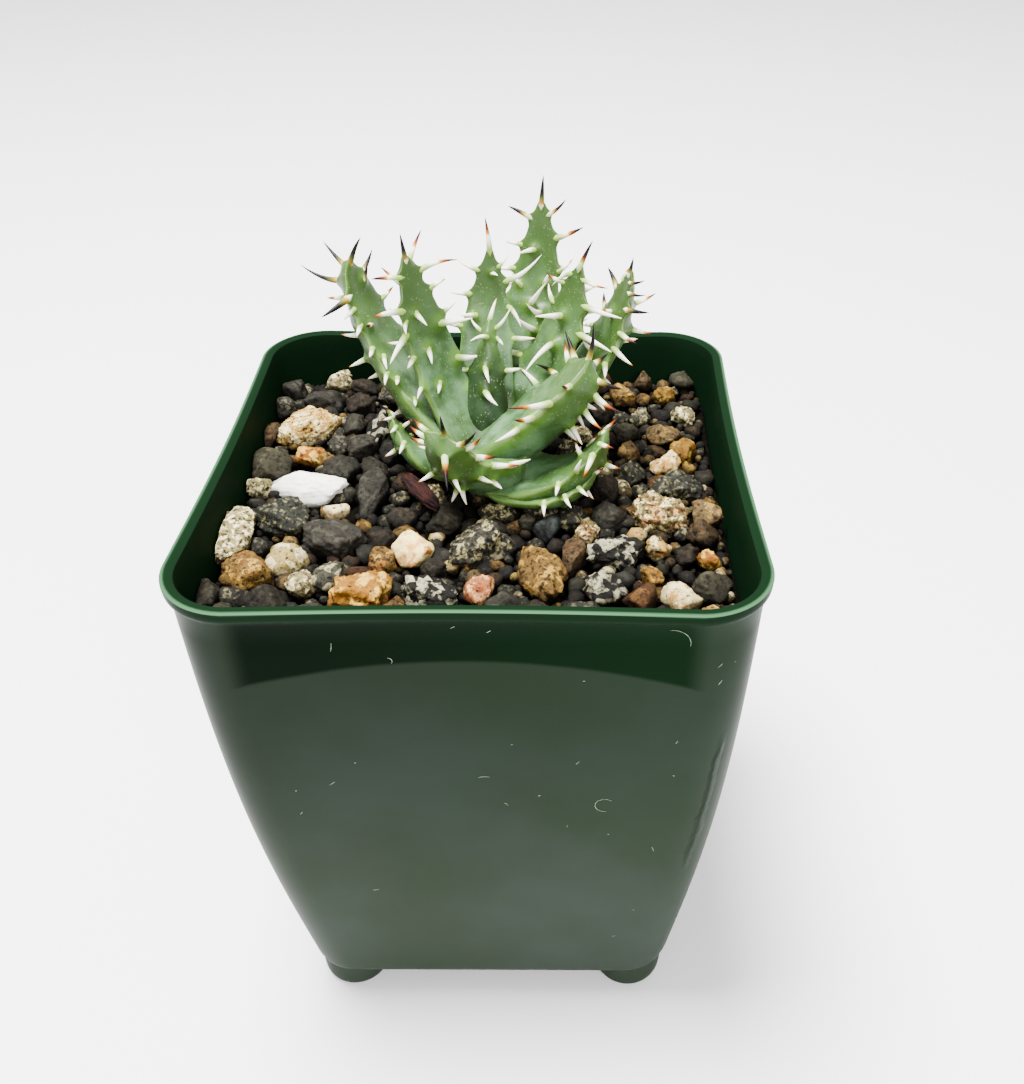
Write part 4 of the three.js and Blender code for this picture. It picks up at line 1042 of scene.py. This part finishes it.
def bark_chip(rng):
    length = BARK_END - BARK_START
    along = direction_of(length)
    side = np.cross([0, 0, 1], along)
    turns = round_turns(BARK_SIDES)
    ridges = 0.16 * np.sin(7 * turns + 1) + 0.12 * np.sin(13 * turns) + rng.uniform(-0.06, 0.06, BARK_SIDES)
    torn = rng.uniform(0, 1.6, BARK_SIDES)
    rings = []
    for share in np.linspace(0, 1, BARK_RINGS):
        half = np.interp(share, *BARK_HALF_WIDTH)
        half *= 1 + 0.12 * math.sin(17 * share) + rng.uniform(-0.06, 0.06)
        arch = 0.5 * math.sin(math.pi * share) + 0.12 * math.sin(9 * share)
        across, thick = squarish(np.cos(turns)) * half, squarish(np.sin(turns)) * (0.5 + ridges)
        back = torn * (np.clip((share - 0.75) / 0.25, 0, 1) - np.clip((0.25 - share) / 0.25, 0, 1))
        rings.append(BARK_START + share * length + np.outer(across, side) - np.outer(back, along)
                     + np.outer(thick + arch, [0, 0, 1]))
    return make_piece("bark_chip_fine", *skin(rings))


bark = Finish("red_bark")
turned = bark.add("ShaderNodeMapping", Vector=bark.place, Rotation=(0, 0, BARK_TURN))
fibres = bark.cloudy(0.5, 5, 0.7, (0.14, 1.0, 1.0), turned)
bark_finish = bark.grained(fibres, (0.4, 0.64), ("#080404", "#34140c"), 0.4, 1.0,
                           Roughness=0.9, Specular_IOR_Level=0.15)
settle(bark_chip(np.random.default_rng(3)), bark_finish, "bark", "bark_chip")

# %% [markdown]
# ## The leaves
#
# Each leaf is a thick, boat-shaped blade: flat to slightly hollow towards the heart and rounded on
# the back. Its centre line is a parabola through a base, a middle and an apex, and a facing says
# which way it leans from the stem. These are the values of the solid model. A row holds the name,
# the three points, and then the facing in degrees, the width, the thickness, how blunt the taper is,
# the keel, how deep in the shade it stands and how far its face is lifted.

# %% Leaf shapes
SHAPE_WORDS = "name base middle apex facing width thickness taper keel deep lift".split()
LEAVES = [dict(zip(SHAPE_WORDS, (name, numbers[:3], numbers[3:6], numbers[6:9], *numbers[9:])))
          for name, *numbers in table("""
leaf_heart .6 6.4 84.6 .4 9 94.4 .7 12.8 102.4 190 6.6 3.4 .65 .5 1 0,
leaf_back_centre .1 3.6 87 .2 14.6 99 .9 17.7 111.5 0 9.2 4.2 .7 0 .6 0,
leaf_right 2.7 5 86.5 10 12 98.5 13.9 12.8 111 46 9.4 4.4 .65 0 .5 0,
leaf_left -.8 4.2 86.5 -7.1 9.2 99.6 -10.1 7.4 114.5 -50 9.2 4.6 .6 0 0 0,
leaf_back_tall 1.1 5.1 86 6.3 20.2 98.5 8.3 25.2 116 15 10.6 4.8 .6 0 .4 0,
leaf_front_right -1.2 2.9 87.2 7.9 2 95 15.2 .7 102.2 100 14 8 .5 0 0 0,
leaf_outer_right 3.7 5.3 85 15.2 12.7 95.5 21.1 11.1 111 68 9 4.8 .6 0 0 0,
leaf_outer_left -3 5 85 -13.2 12.8 96.5 -19.4 14 111 -70 9.8 5 .43 0 0 0,
leaf_front 3 .4 85.4 -2 -4.6 89.8 -4.2 -9.2 96 213 12.4 6 .44 0 0 0,
leaf_low_right 2.2 .2 84.8 11.6 -3.4 87 17.5 -2.4 92.8 110 12 4.6 .5 0 0 1,
leaf_low_back -1.5 6 84 -6 13.5 86.5 -9.5 18 92 -28 8.4 4.2 .6 0 0 0,
leaf_low_left -3.4 3.8 84.2 -10 4.4 86.2 -13.9 7.9 89.6 -75 7.4 4 .7 0 0 0,
leaf_lowest_right 2.6 -1 84 10.2 -5.4 84.4 15.8 -5.4 87.4 125 9 3 .5 0 0 1.2""")]
print(len(LEAVES), "leaves")

# %% [markdown]
# ## The list of spines
#
# The spines are listed leaf by leaf, because on the real plant they grow from the leaf's skin. A row
# says where a spine stands and how it points: the turn round the section in degrees, the share of the
# way along, the length, and then how far it leans towards the tip, how far it tilts sideways, how it
# curls, and its tone from white to black. R and L are the right and the left margin. Zeros at a row's
# end are left out, but for one where all four are zero. The spines that the picture does not show
# have only the first three numbers, and a seeded draw gives them the rest. The row of the tip spine
# has no place, since its place is the tip. `BACK` is the row of spines down a leaf's back.

# %% Spine lists
BACK = ", -90 .84 3.4, -60 .75 3, -90 .66 3.2, -120 .57 2.8, -90 .48 3, -60 .4 2.4, -90 .3 2.6"
SPINE_ROWS = {name: table(text) for name, text in {
    "leaf_heart": """
    tip 3.6 .2 .2 0 .1, R .92 3 1.2 -.4, R .6 2.4, L .94 3.6 1.4 -.2, L .87 2 -1.4 -.6, L .6 2.4,
    -100 .87 3.4 1 -1.2 -.8, -95 .63 2.4 -1.4 .6, -95 .46 4 -1 1, 90 .7 2.2""",
    "leaf_back_centre": """
    tip 4.8 -.2 .2 0 .5, R .91 2 1.4 .8, R .82 5.2 .8 .2, R .68 3 -1.4 -.8, R .5 3, L .88 2.8 .4 -.2,
    L .74 2.4 0 0 0 .1, L .56 3, 80 .87 1.8 1.4 .8 -.8, 120 .62 2.4 0 -.6, 85 .46 2.2""" + BACK,
    "leaf_right": """
    tip 4.2 -.4 0 0 .75, R .95 4 .2 .2 0 .4, R .81 6 .2 .2, R .65 5.4 0 .2, R .48 3.4,
    L .94 4 -1.4 .2, L .87 3.8 -.2 .2 0 .5, L .73 2.6 .6 -.4, L .4 5.6 -.2 .2, L .25 5.6 -.4 .2,
    90 .7 4 -.2 -.4, 85 .54 5.6 -.2 .2 -.6""" + BACK,
    "leaf_left": """
    tip 3.6 -.2 -.2 0 1, R .9 5.6 .4 -.6 -.4 .5, R .79 2.6 0 -.2 0 .2, R .64 2.6 .2 -.2,
    L .93 5.4 1.4 -.8 -.6 .6, L .77 5.6 1.2 -.4 -.6 .25, L .72 1.8 -.8 1, L .66 5.4 -.6 .2 .2,
    L .53 2.4 -.6 .2, L .38 2 -.6 .2, 115 .74 2.8 -.4 .2, 60 .62 5 0, 110 .54 3 -.8 -.4,
    50 .42 4.4 -.4 -.2, 115 .35 1.8 -1.2 -1, 50 .26 4 -.4 -.2, -35 .95 6 .2 -.2 0 .6""" + BACK,
    "leaf_back_tall": """
    tip 4.2 -.2 0 0 .95, R .96 3.6 1.2 .4 0 .8, R .87 4.8 .8 0 -.2 .6, R .74 2.4 1.2 .2 0 .2,
    R .62 2.2 1.4 -.2, L .94 4.6 .8 -.2 -.4 .8, L .83 2.2 0 0 0 .15, L .73 2.8 -.2, L .6 2.8,
    100 .82 2.6 -.2 -.6, 65 .68 1.8 1.4, 125 .66 1.8 1.2 -.4, 95 .58 3.8 1.2 1.2,
    65 .56 4.8 -1.2 -1.2 .8, 70 .48 5.4 -.4 -1.2 .4""" + BACK,
    "leaf_front_right": """
    tip 5.4 .8 .2 0 .85, R .7 5.4 -.8 -1.2 0 .4, R .57 4.8 -.8 -.8 0 .5, R .43 3.6 -.2 -.4 -.4,
    R .86 3 .2 -.6 0 .6, L .82 5.2 0 .8 0 .8, L .76 4.4 0 .8 0 .45, L .62 3.6 -1 1.2 0 .85,
    L .45 4.6 -.6 1.2 0 .1, L .24 4.2 -.4 1.2, L .12 3 -.2 1.2, -150 .95 3.4 .6 .2 0 .8,
    -70 .95 4.4 .8 .2 0 .85, -70 .88 4.4 .4 0 0 .55, -70 .76 4.2 .2 -.2 0 .35, -70 .62 3.2 0 -.2,
    -110 .7 3.2, -100 .5 2.8""",
    "leaf_outer_right": """
    tip 2.2 -.2 .4 0 1, R .97 2.4 1.2 .8 0 1, R .93 2.2 .6 .8 0 1, R .86 3.6 .8 1 0 1,
    R .75 3 .2 .4 0 .55, R .67 3.8 0 .4 0 .1, R .58 2.6 -.6 -.2, L .94 2.4 .4 -1.2 0 .6,
    L .88 4.2 .6 0 -.4 .9, L .76 2.4 .4 -.2 0 .8, L .66 2.6 -1.2 .8, 90 .8 2.2, 90 .58 2.4""" + BACK,
    "leaf_outer_left": """
    tip 6 1.5 -.5 -.4 1, R .92 2.9 .6 -.3 0 1, R .76 2.6 .2 -.4 0 .5, R .6 2.6,
    -60 .98 4.4 .5 0 .2 .95, -100 .93 5.8 -.2 -.25 .7 1, L .88 5 -.1 -.4 .1 .9, L .82 2 -.2 -.4,
    L .74 2.4 -.6, L .61 2.2 -.8, L .47 1.8 -.8 -.2, 65 .89 1.8 1.4 .6 0 .9,
    120 .71 1.8 .4 -1.2 0 .55, 145 .55 1.8 -1.2 -.4, 150 .42 1.8 -1.4 -.6, 145 .29 1.8 -1.4 -.6""" + BACK,
    "leaf_front": """
    tip 3.2 .4 -.3 0 .95, R .68 3.4 .2 -.2 0 .5, R .56 3.4 .2 0 0 .45, R .45 3.2 .2 0 0 .15,
    R .34 3 .2 -.2, R .86 3 .4 -.2 0 .6, L .96 3.6 1.4 1.2 0 .85, L .92 3.6 1.4 1.2 0 .4,
    L .82 4.2 1.2 .6 -.8 .5, L .58 4.8 1 .4 -.8 .3, L .38 4.6 .8 .4 -.6, -120 .95 5 0 .2 0 .75,
    -115 .73 2.6 0 .6, -150 .63 2.4 0 .6, -100 .5 2.4 0 .6, -150 .46 2.2 0 .2, -60 .6 2.4, -70 .36 2.2""",
    "leaf_low_right": """
    tip 2.4 -.6 0 0 1, R .92 2.2 .6 1.2 0 .5, R .84 3.6 -1 .2 0 .25, R .68 1.8 1.4 -1,
    R .54 1.8 -.4 .6, L .95 3.4 1.4 -.6 0 .5, L .76 2.6, L .58 2.4, 90 .72 1.8, -90 .8 2.4,
    -80 .6 2.2, -90 .4 2""",
    "leaf_low_back": """
    tip 3 0 0 0 .8, R .9 3, R .75 2.8, R .58 2.6, L .88 3, L .72 2.8, L .55 2.6, 90 .8 2.4,
    -90 .78 2.6, -80 .6 2.4""",
    "leaf_low_left": """
    tip 2.4 -.6 -.2 0 .9, R .88 2.6, R .7 2.4, L .94 1.8 -.2 -1.2 0 .2, L .8 1.8 -1.4 -1.2,
    L .6 1.8 -.8 -1.2, 90 .8 2, -90 .66 2""",
    "leaf_lowest_right": """
    tip 1.8 -.2 0 0 .5, R .84 1.8 .6 1.2, R .7 1.8 .4 1.2, R .52 1.8 .2 1, L .88 2.2, L .7 2.2,
    -90 .6 1.8""",
}.items()}
print(sum(len(rows) for rows in SPINE_ROWS.values()), "spines are listed")

# %% [markdown]
# ## The skin of a leaf
#
# `skin_point` gives any point of the blade: how far along, and the turn round the section, where 0
# is the right margin and a quarter turn the middle of the upper face. The upper face is nearly flat
# and a little hollow, and the lower face is full, or drawn out to a keel. The same function places
# the spines, so their roots always lie on the skin.

# %% Leaf geometry
UPPER_SHARE, LOWER_SHARE, HOLLOW = 0.24, 0.76, 0.14
NECK, NECK_WIDTH = 0.18, 0.86


def leaf_frame(leaf, u):
    base, middle, apex = (np.array(leaf[k]) for k in ("base", "middle", "apex"))
    pull = 2 * middle - 0.5 * (base + apex)
    u = np.atleast_1d(np.asarray(u, float))[:, None]
    point = (1 - u) ** 2 * base + 2 * u * (1 - u) * pull + u ** 2 * apex
    along = direction_of(2 * (1 - u) * (pull - base) + 2 * u * (apex - pull))
    facing = math.radians(leaf["facing"])
    right = direction_of(np.cross(along, [-math.sin(facing), -math.cos(facing), leaf["lift"]]))
    return point, along, right, np.cross(right, along)


def leaf_section(leaf, u):
    u = np.atleast_1d(np.asarray(u, float))
    neck = np.where(u < NECK, NECK_WIDTH + (1 - NECK_WIDTH) * np.sin(u / NECK * math.pi / 2), 1)
    share = neck * (1 - u * u) ** leaf["taper"]
    half = leaf["width"] / 2 * share
    return half, np.minimum(leaf["thickness"] * share ** 0.8, 2 * half)


def face_height(leaf, turn):
    rise = np.sin(turn)
    above = UPPER_SHARE * rise - HOLLOW * np.abs(rise) ** 3
    below = LOWER_SHARE * rise * (1 - leaf["keel"] * (1 - np.abs(rise)))
    return np.where(rise > 0, above, below)


def skin_point(leaf, u, turn):
    point, along, right, face = leaf_frame(leaf, u)
    half, depth = leaf_section(leaf, u)
    turn = np.atleast_1d(turn)
    return point + right * (half * np.cos(turn))[:, None] + face * (face_height(leaf, turn) * depth)[:, None]


TIP = 0.985
print("tallest leaf reaches", round(max(skin_point(leaf, TIP, 0)[0][2] for leaf in LEAVES), 1), "mm")

# %% [markdown]
# ## Where the spines stand
#
# A spine never lies on the skin. It starts out nearly upright and then bends over to where it
# points, like a claw. Where a row gives no curl, a draw gives one, and the lean is put back by as
# much, so that the tip stays where the row puts it. Spines near the margin of a narrow part get less
# room, and so a lower cushion.

# %% Spine places
SPINE_SEED, HABIT_SEED = 7, 19
CURL, STANDING_ROOT = 0.95, 0.8
TONE_AT = ([0, 0.66, 0.84, 0.92, 1], [0, 0.05, 0.35, 0.65, 1])
CUSHION_HEIGHT, CUSHION_GAIN, TIP_CUSHION = 0.42, 0.15, 0.9
ROOMY_HALF_WIDTH, TIP_ROOM = 2.6, 0.6


def drawn_habit(leaf, u, draw, habit_draw):
    habit = [0.7 * u - 0.35 + 0.5 * (draw() - 0.5), 0.5 * (draw() - 0.5), 0.34 * (draw() - 0.35)]
    tone = np.interp(u, *TONE_AT) * (0.5 if leaf["deep"] else 1) + 0.1 * habit_draw()
    return [*habit, float(np.clip(tone, 0, 1))]


def spine_at(root, out, aim, bend, length, tone, lift, room, end=False):
    aim = direction_of(aim)
    start = direction_of(aim + STANDING_ROOT * out)
    return dict(root=root, out=out, aim=start, bend=bend + aim - start, length=length, tone=tone,
                rise=start * lift, room=room, end=end)


def spine_list(leaf, draw, habit_draw):
    spines = []
    (_, *tip), *rows = SPINE_ROWS[leaf["name"]]
    for turn, u, length, *habit in rows:
        habit = habit or drawn_habit(leaf, u, draw, habit_draw)
        lean, tilt, curl, tone = (*habit, 0, 0, 0)[:4]
        own_curl = curl or CURL * (habit_draw() - 0.3)
        lean -= own_curl - curl
        turn = math.radians({"R": 0, "L": 180}.get(turn, turn))
        _, along, right, face = (v[0] for v in leaf_frame(leaf, u))
        out = right * math.cos(turn) + face * math.sin(turn)
        aim = out + along * lean + np.cross(along, out) * tilt
        room = min(1.0, leaf_section(leaf, u)[0][0] / ROOMY_HALF_WIDTH)
        lift = (CUSHION_HEIGHT + CUSHION_GAIN * length) * (0.35 + 0.65 * room)
        root = skin_point(leaf, u, turn)[0]
        spines.append(spine_at(root, out, aim, along * own_curl, length, tone, lift, room))
    length, lean, tilt, curl, tone = tip
    point, along, right, face = (v[0] for v in leaf_frame(leaf, TIP))
    aim = along + face * lean + np.cross(face, along) * tilt
    spines.append(spine_at(point, along, aim, face * curl, length, tone, TIP_CUSHION, TIP_ROOM, end=True))
    return spines


draw, habit_draw = draws_from(SPINE_SEED), draws_from(HABIT_SEED)
SPINES = {leaf["name"]: spine_list(leaf, draw, habit_draw) for leaf in LEAVES}
print(sum(len(s) for s in SPINES.values()), "spines")

# %% [markdown]
# ## Pedestals
#
# Each spine sits on a small green cushion of the leaf's own flesh. The blade is a fine grid, so the
# cushions can simply be drawn out of it: every point of the skin near a root moves towards the spine
# by a bell curve of its distance. The same number is kept as a value, so that the material can paint
# the cushions a fresher green. A second value, deep, marks the shaded heart of the plant.

# %% Blade maker
HEART, HEART_RADIUS, HEART_FADE = np.array([1.2, 7.5, 90.0]), 12, 6
BLADE_RINGS, BLADE_SIDES = 130, 80
LAST_RING = 0.9985
WAVES, WAVE_HEIGHT = 0.55, 0.07
GREEN_SPREAD = 1.55


def blade(leaf, spines):
    u = np.minimum(1 - (1 - np.linspace(0, 1, BLADE_RINGS)) ** 1.5, LAST_RING)
    turns = -round_turns(BLADE_SIDES)
    grid = np.array([skin_point(leaf, np.full(BLADE_SIDES, v), turns) for v in u])
    around = np.roll(grid, -1, axis=1) - np.roll(grid, 1, axis=1)
    normal = np.cross(around, np.gradient(grid, axis=0))
    normal /= np.maximum(np.linalg.norm(normal, axis=2), 1e-9)[:, :, None]
    cushion, drawn_out = np.zeros(grid.shape[:2]), np.zeros(grid.shape)
    for spine in spines:
        radius = (0.62 + 0.085 * spine["length"]) * (0.5 + 0.5 * spine["room"])
        away = np.linalg.norm(grid - spine["root"], axis=2)
        same_side = 1 if spine["end"] else np.clip(normal @ spine["out"] + 0.4, 0, 1)
        drawn_out += (np.exp(-(away / radius) ** 2) * same_side)[:, :, None] * spine["rise"]
        cushion = np.maximum(cushion, np.exp(-(away / (radius * GREEN_SPREAD)) ** 2) * same_side)
    rng = np.random.default_rng(int(abs(leaf["facing"])) + 3)
    waves, phase = rng.normal(size=(6, 3)) * WAVES, rng.uniform(0, WHOLE_TURN, 6)
    fade = np.clip((1 - u) * 4, 0, 1)[:, None]
    swell = WAVE_HEIGHT * np.sin(grid @ waves.T + phase).sum(2) * fade
    shade = np.clip((HEART_RADIUS - np.linalg.norm(grid - HEART, axis=2)) / HEART_FADE, 0, 1)
    piece = make_piece(leaf["name"] + "_blade", *skin(grid + normal * swell[:, :, None] + drawn_out))
    margin = np.tile(np.abs(np.cos(turns)) ** 14, (BLADE_RINGS, 1))
    rise = np.repeat(u[:, None], BLADE_SIDES, 1)
    values = dict(cushion=(cushion, 0, 1), margin=(margin, 0, 0), rise=(rise, 0, 1),
                  deep=(leaf["deep"] * shade, leaf["deep"], 0))
    keep_values(piece, **{name: [*inner.ravel(), *ends] for name, (inner, *ends) in values.items()})
    return piece


print("a blade has", BLADE_RINGS * BLADE_SIDES, "points on its skin")

# %% [markdown]
# ## Waxy skin
#
# The blades are a dusty blue-green, because a waxy bloom with tiny pale specks covers them. It is
# rubbed away on the cushions, along the margins and near the tips, where the skin is a clear grass
# green, and the leaf bases pale where the leaves shade each other. In the heart of the plant the
# blades are painted nearly black green, as painted shade. A little light passes into the flesh, so
# the shader has some subsurface scattering.

# %% Leaf material
SPECKS_PER_METRE = 2300.0


def leaf_skin():
    wax = Finish("waxy_leaf")
    between, blend, raised = wax.between, wax.blend, wax.raised
    cushion, margin, rise, deep = (wax.read(name) for name in ("cushion", "margin", "rise", "deep"))
    patches, fine = wax.cloudy(4.5, 4, 0.55), wax.cloudy(0.35, 4, 0.6)
    bloom = blend(between(patches, 0.38, 0.62), "#2f4924", "#557650")
    fresh = blend(between(patches, 0.3, 0.7), "#44661f", "#5a8528")
    tone = blend(between(cushion, 0.15, 0.85), bloom, fresh)
    tone = blend(between(margin, 0.2, 0.9, 0.0, 0.8), tone, fresh)
    tone = blend(between(rise, 0.25, 0.85, 0.0, 0.85), tone, "#334d1b")
    tone = blend(between(rise, 0.3, 0.0, 0.0, 0.35), tone, "#3e4f2a")
    tone = blend(between(margin, 0.9, 1.0, 0.0, 0.35), tone, "#8f9c68")
    # painted shade: blades in the heart of the plant go nearly black green
    tone = blend(between(deep, 0.0, 1.0, 0.0, 0.8), tone, "#0d1a06")
    speck = between(wax.add("ShaderNodeTexVoronoi", Vector=wax.place, Scale=SPECKS_PER_METRE), 0.3, 0.12)
    speck = speck * between(wax.cloudy(1.6, 2), 0.42, 0.6) * between(cushion, 0.7, 0.2)
    tone = blend(speck * 0.55, tone, "#8b9d74")
    bump = raised(patches, 0.25, 0.35, Normal=raised(fine, 0.03, 0.4))
    bump = raised(speck, 0.03, 0.5, Normal=bump)
    return wax.done(Base_Color=tone, Roughness=speck * 0.2 + (fine * 0.16 + 0.3), Normal=bump,
                    Specular_IOR_Level=0.26, Subsurface_Weight=0.06,
                    Subsurface_Radius=(0.0016, 0.0022, 0.0008), Subsurface_Scale=1.0)


leaf_finish = leaf_skin()
for leaf in LEAVES:
    settle(blade(leaf, SPINES[leaf["name"]]), leaf_finish, "leaf", leaf["name"])

# %% [markdown]
# ## Horns from one tree
#
# A spine is a small curved horn. Two hundred of them repeat one shape, so Geometry Nodes make them:
# each root is a point that carries the direction, the bend, the length and the thickness. A unit
# horn is set on each point, turned to its direction, made real, and then bent by a formula that
# grows with the square of the height.

# %% Horn tree
HORN = dict(Sides=8, Steps=7, Fullness=0.7)
BLUNT = 0.02


def horn_tree():
    horn = Recipe("curved_horns", **HORN)
    cone = horn.add("GeometryNodeMeshCone", Vertices=horn.given("Sides"), Side_Segments=horn.given("Steps"),
                    Radius_Top=BLUNT, Radius_Bottom=1.0, Depth=1.0)
    x, y, z = horn.split(horn.add("GeometryNodeInputPosition"))
    cone = horn.add("GeometryNodeStoreNamedAttribute", {"data_type": "FLOAT", "domain": "POINT"},
                    Geometry=cone, Name="tall", Value=z)
    left = horn.maths("MAXIMUM", 1.0 - z, BLUNT)
    closed_root = horn.maths("MINIMUM", z * 12.0 + 0.25, 1.0)
    fuller = closed_root * horn.maths("POWER", left, horn.given("Fullness")) / left
    wide = horn.add("ShaderNodeCombineXYZ", X=x * fuller, Y=y * fuller, Z=z)
    shape = horn.add("GeometryNodeSetPosition", Geometry=cone, Position=wide)
    turned = horn.add("FunctionNodeAlignRotationToVector", {"axis": "Z"}, Vector=horn.named("aim"))
    tall = horn.named("tall", "FLOAT")
    return horn.finished(horn.set_on_points(shape, turned), horn.named("bend"), tall * tall)


horn_recipe = horn_tree()
print("horn tree has", len(horn_recipe.nodes), "nodes")

# %% [markdown]
# ## Horn colours
#
# Young inner spines are white like bone. Further out they stay white at the root and end in orange
# and red-brown, and those at the tips of the outer leaves are nearly black with an orange root. All
# of them follow the same row of colours, bone, orange, red-brown and black. A value on each spine,
# its tone, only says how far along that row its tip gets, so the colours never mix to a dull pink.

# %% Horn material
HORN_COLOURS = table("0 #f6f4ea, 1 #080505, .38 #f3ecd0, .45 #bd7c02, .54 #7a3600, .66 #3c1303, .8 #130908")


def horn_finish():
    horn = Finish("bone_to_black_horn")
    between, blend = horn.between, horn.blend
    tone, hidden = horn.read("tone"), horn.read("hidden")
    tall = (horn.read("tall") - hidden) / (1.0 - hidden)
    row = horn.add("ShaderNodeValToRGB", Fac=tall * (tone * 0.94 + 0.38) + between(tone, 0.5, 1.0) * 0.43)
    marks = row.socket.node.color_ramp.elements
    for i, (at, code) in enumerate(HORN_COLOURS):
        mark = marks[i] if i < 2 else marks.new(at)
        mark.position, mark.color = at, colour(code)
    green = between(tall, 0.42, 0.06) * between(tone, 0.6, 1.0, 0.95, 0.25)
    fibre = horn.cloudy(0.35, 3, 0.6)
    mixed = blend(between(fibre, 0.35, 0.75, 0.0, 0.18), blend(green, row, "#8aa843"), "#a8a38c", "MULTIPLY")
    return horn.done(Base_Color=mixed, Roughness=0.45, Normal=horn.raised(fibre, 0.03, 0.5),
                     Specular_IOR_Level=0.14, Subsurface_Weight=0.06,
                     Subsurface_Radius=(0.0008, 0.0006, 0.0004), Subsurface_Scale=1.0)


spine_finish = horn_finish()
print("horn finish has", len(spine_finish.node_tree.nodes), "nodes")

# %% [markdown]
# ## Growing the spines
#
# A horn starts under the skin, deep enough that no edge of its root shows where it slants. The part
# that is hidden is remembered, so that the colours start where the horn comes out of the cushion.

# %% Grow the spines
ROOT_RADIUS, ROOT_RISE, DEEPEST_ROOT = 0.55, 0.6, 2.6


def root_radius(spine):
    return ROOT_RADIUS * min(1, 0.55 + spine["length"] / 10) * (0.55 + 0.45 * spine["room"])


def root_depth(spine):
    straight = float(spine["out"] @ spine["aim"])
    slanted = math.sqrt(max(0, 1 - straight ** 2))
    above = ROOT_RISE * float(spine["rise"] @ spine["out"]) + 0.7 * root_radius(spine) * slanted
    return min(DEEPEST_ROOT, above / max(straight, 0.45) + 0.3)


def grow_spines(leaf, spines):
    points, values = [], {"aim": [], "size": [], "bend": [], "tone": [], "hidden": []}
    for spine in spines:
        depth = root_depth(spine)
        whole = spine["length"] + depth
        thick = root_radius(spine) / (1 - depth / whole) ** HORN["Fullness"]
        points.append(spine["root"] + ROOT_RISE * spine["rise"] - spine["aim"] * depth)
        row = (spine["aim"], (thick * MM, thick * MM, whole * MM), spine["bend"] * spine["length"] * MM,
               spine["tone"], depth / whole)
        for column, value in zip(values.values(), row):
            column.append(value)
    piece = make_piece(leaf["name"] + "_spines", points, [])
    keep_values(piece, **values)
    return grow(piece, horn_recipe, Finish=spine_finish, **HORN)


for leaf in LEAVES:
    settle(grow_spines(leaf, SPINES[leaf["name"]]), spine_finish, "spine", leaf["name"])

# %% [markdown]
# ## Floor and light
#
# The object stands on a plain white surface under soft studio light. Two large area lamps, one
# overhead and one in front, give the broad highlights, and a pale sky fills the shadows.

# %% Stage
FLOOR_HALF, SKY_STRENGTH = 3000, 1.25


def make_floor():
    corners = [(sx * FLOOR_HALF, sy * FLOOR_HALF, 0) for sx, sy in ((-1, -1), (1, -1), (1, 1), (-1, 1))]
    piece = make_piece("floor", corners, [(0, 1, 2, 3)])
    dress(piece, Finish("white_floor").done(Base_Color=(0.93, 0.93, 0.93, 1), Roughness=0.9))
    return piece


def area_light(name, place, aim, size, watts):
    data = bpy.data.lights.new(name, "AREA")
    data.shape, data.size, data.energy = "DISK", size, watts
    lamp = put_in_scene(name, data)
    lamp.location = Vector(place)
    lamp.rotation_mode = "QUATERNION"
    lamp.rotation_quaternion = (Vector(aim) - Vector(place)).to_track_quat("-Z", "Y")


floor = make_floor()
area_light("overhead", (-0.14, 0.02, 0.85), (0, 0, 0.05), 0.36, 40)
area_light("front", (0.35, -0.9, 0.7), (0, 0, 0.05), 0.5, 13)
world = bpy.data.worlds.new("sky")
world.use_nodes = True
sky = world.node_tree.nodes["Background"].inputs
sky[0].default_value, sky[1].default_value = (1, 1, 1, 1), SKY_STRENGTH
bpy.context.scene.world = world
print("stage is set")

# %% [markdown]
# ## Sizes
# #
# # The box round the shown pieces should match the box of the solids, apart from the finest spines.
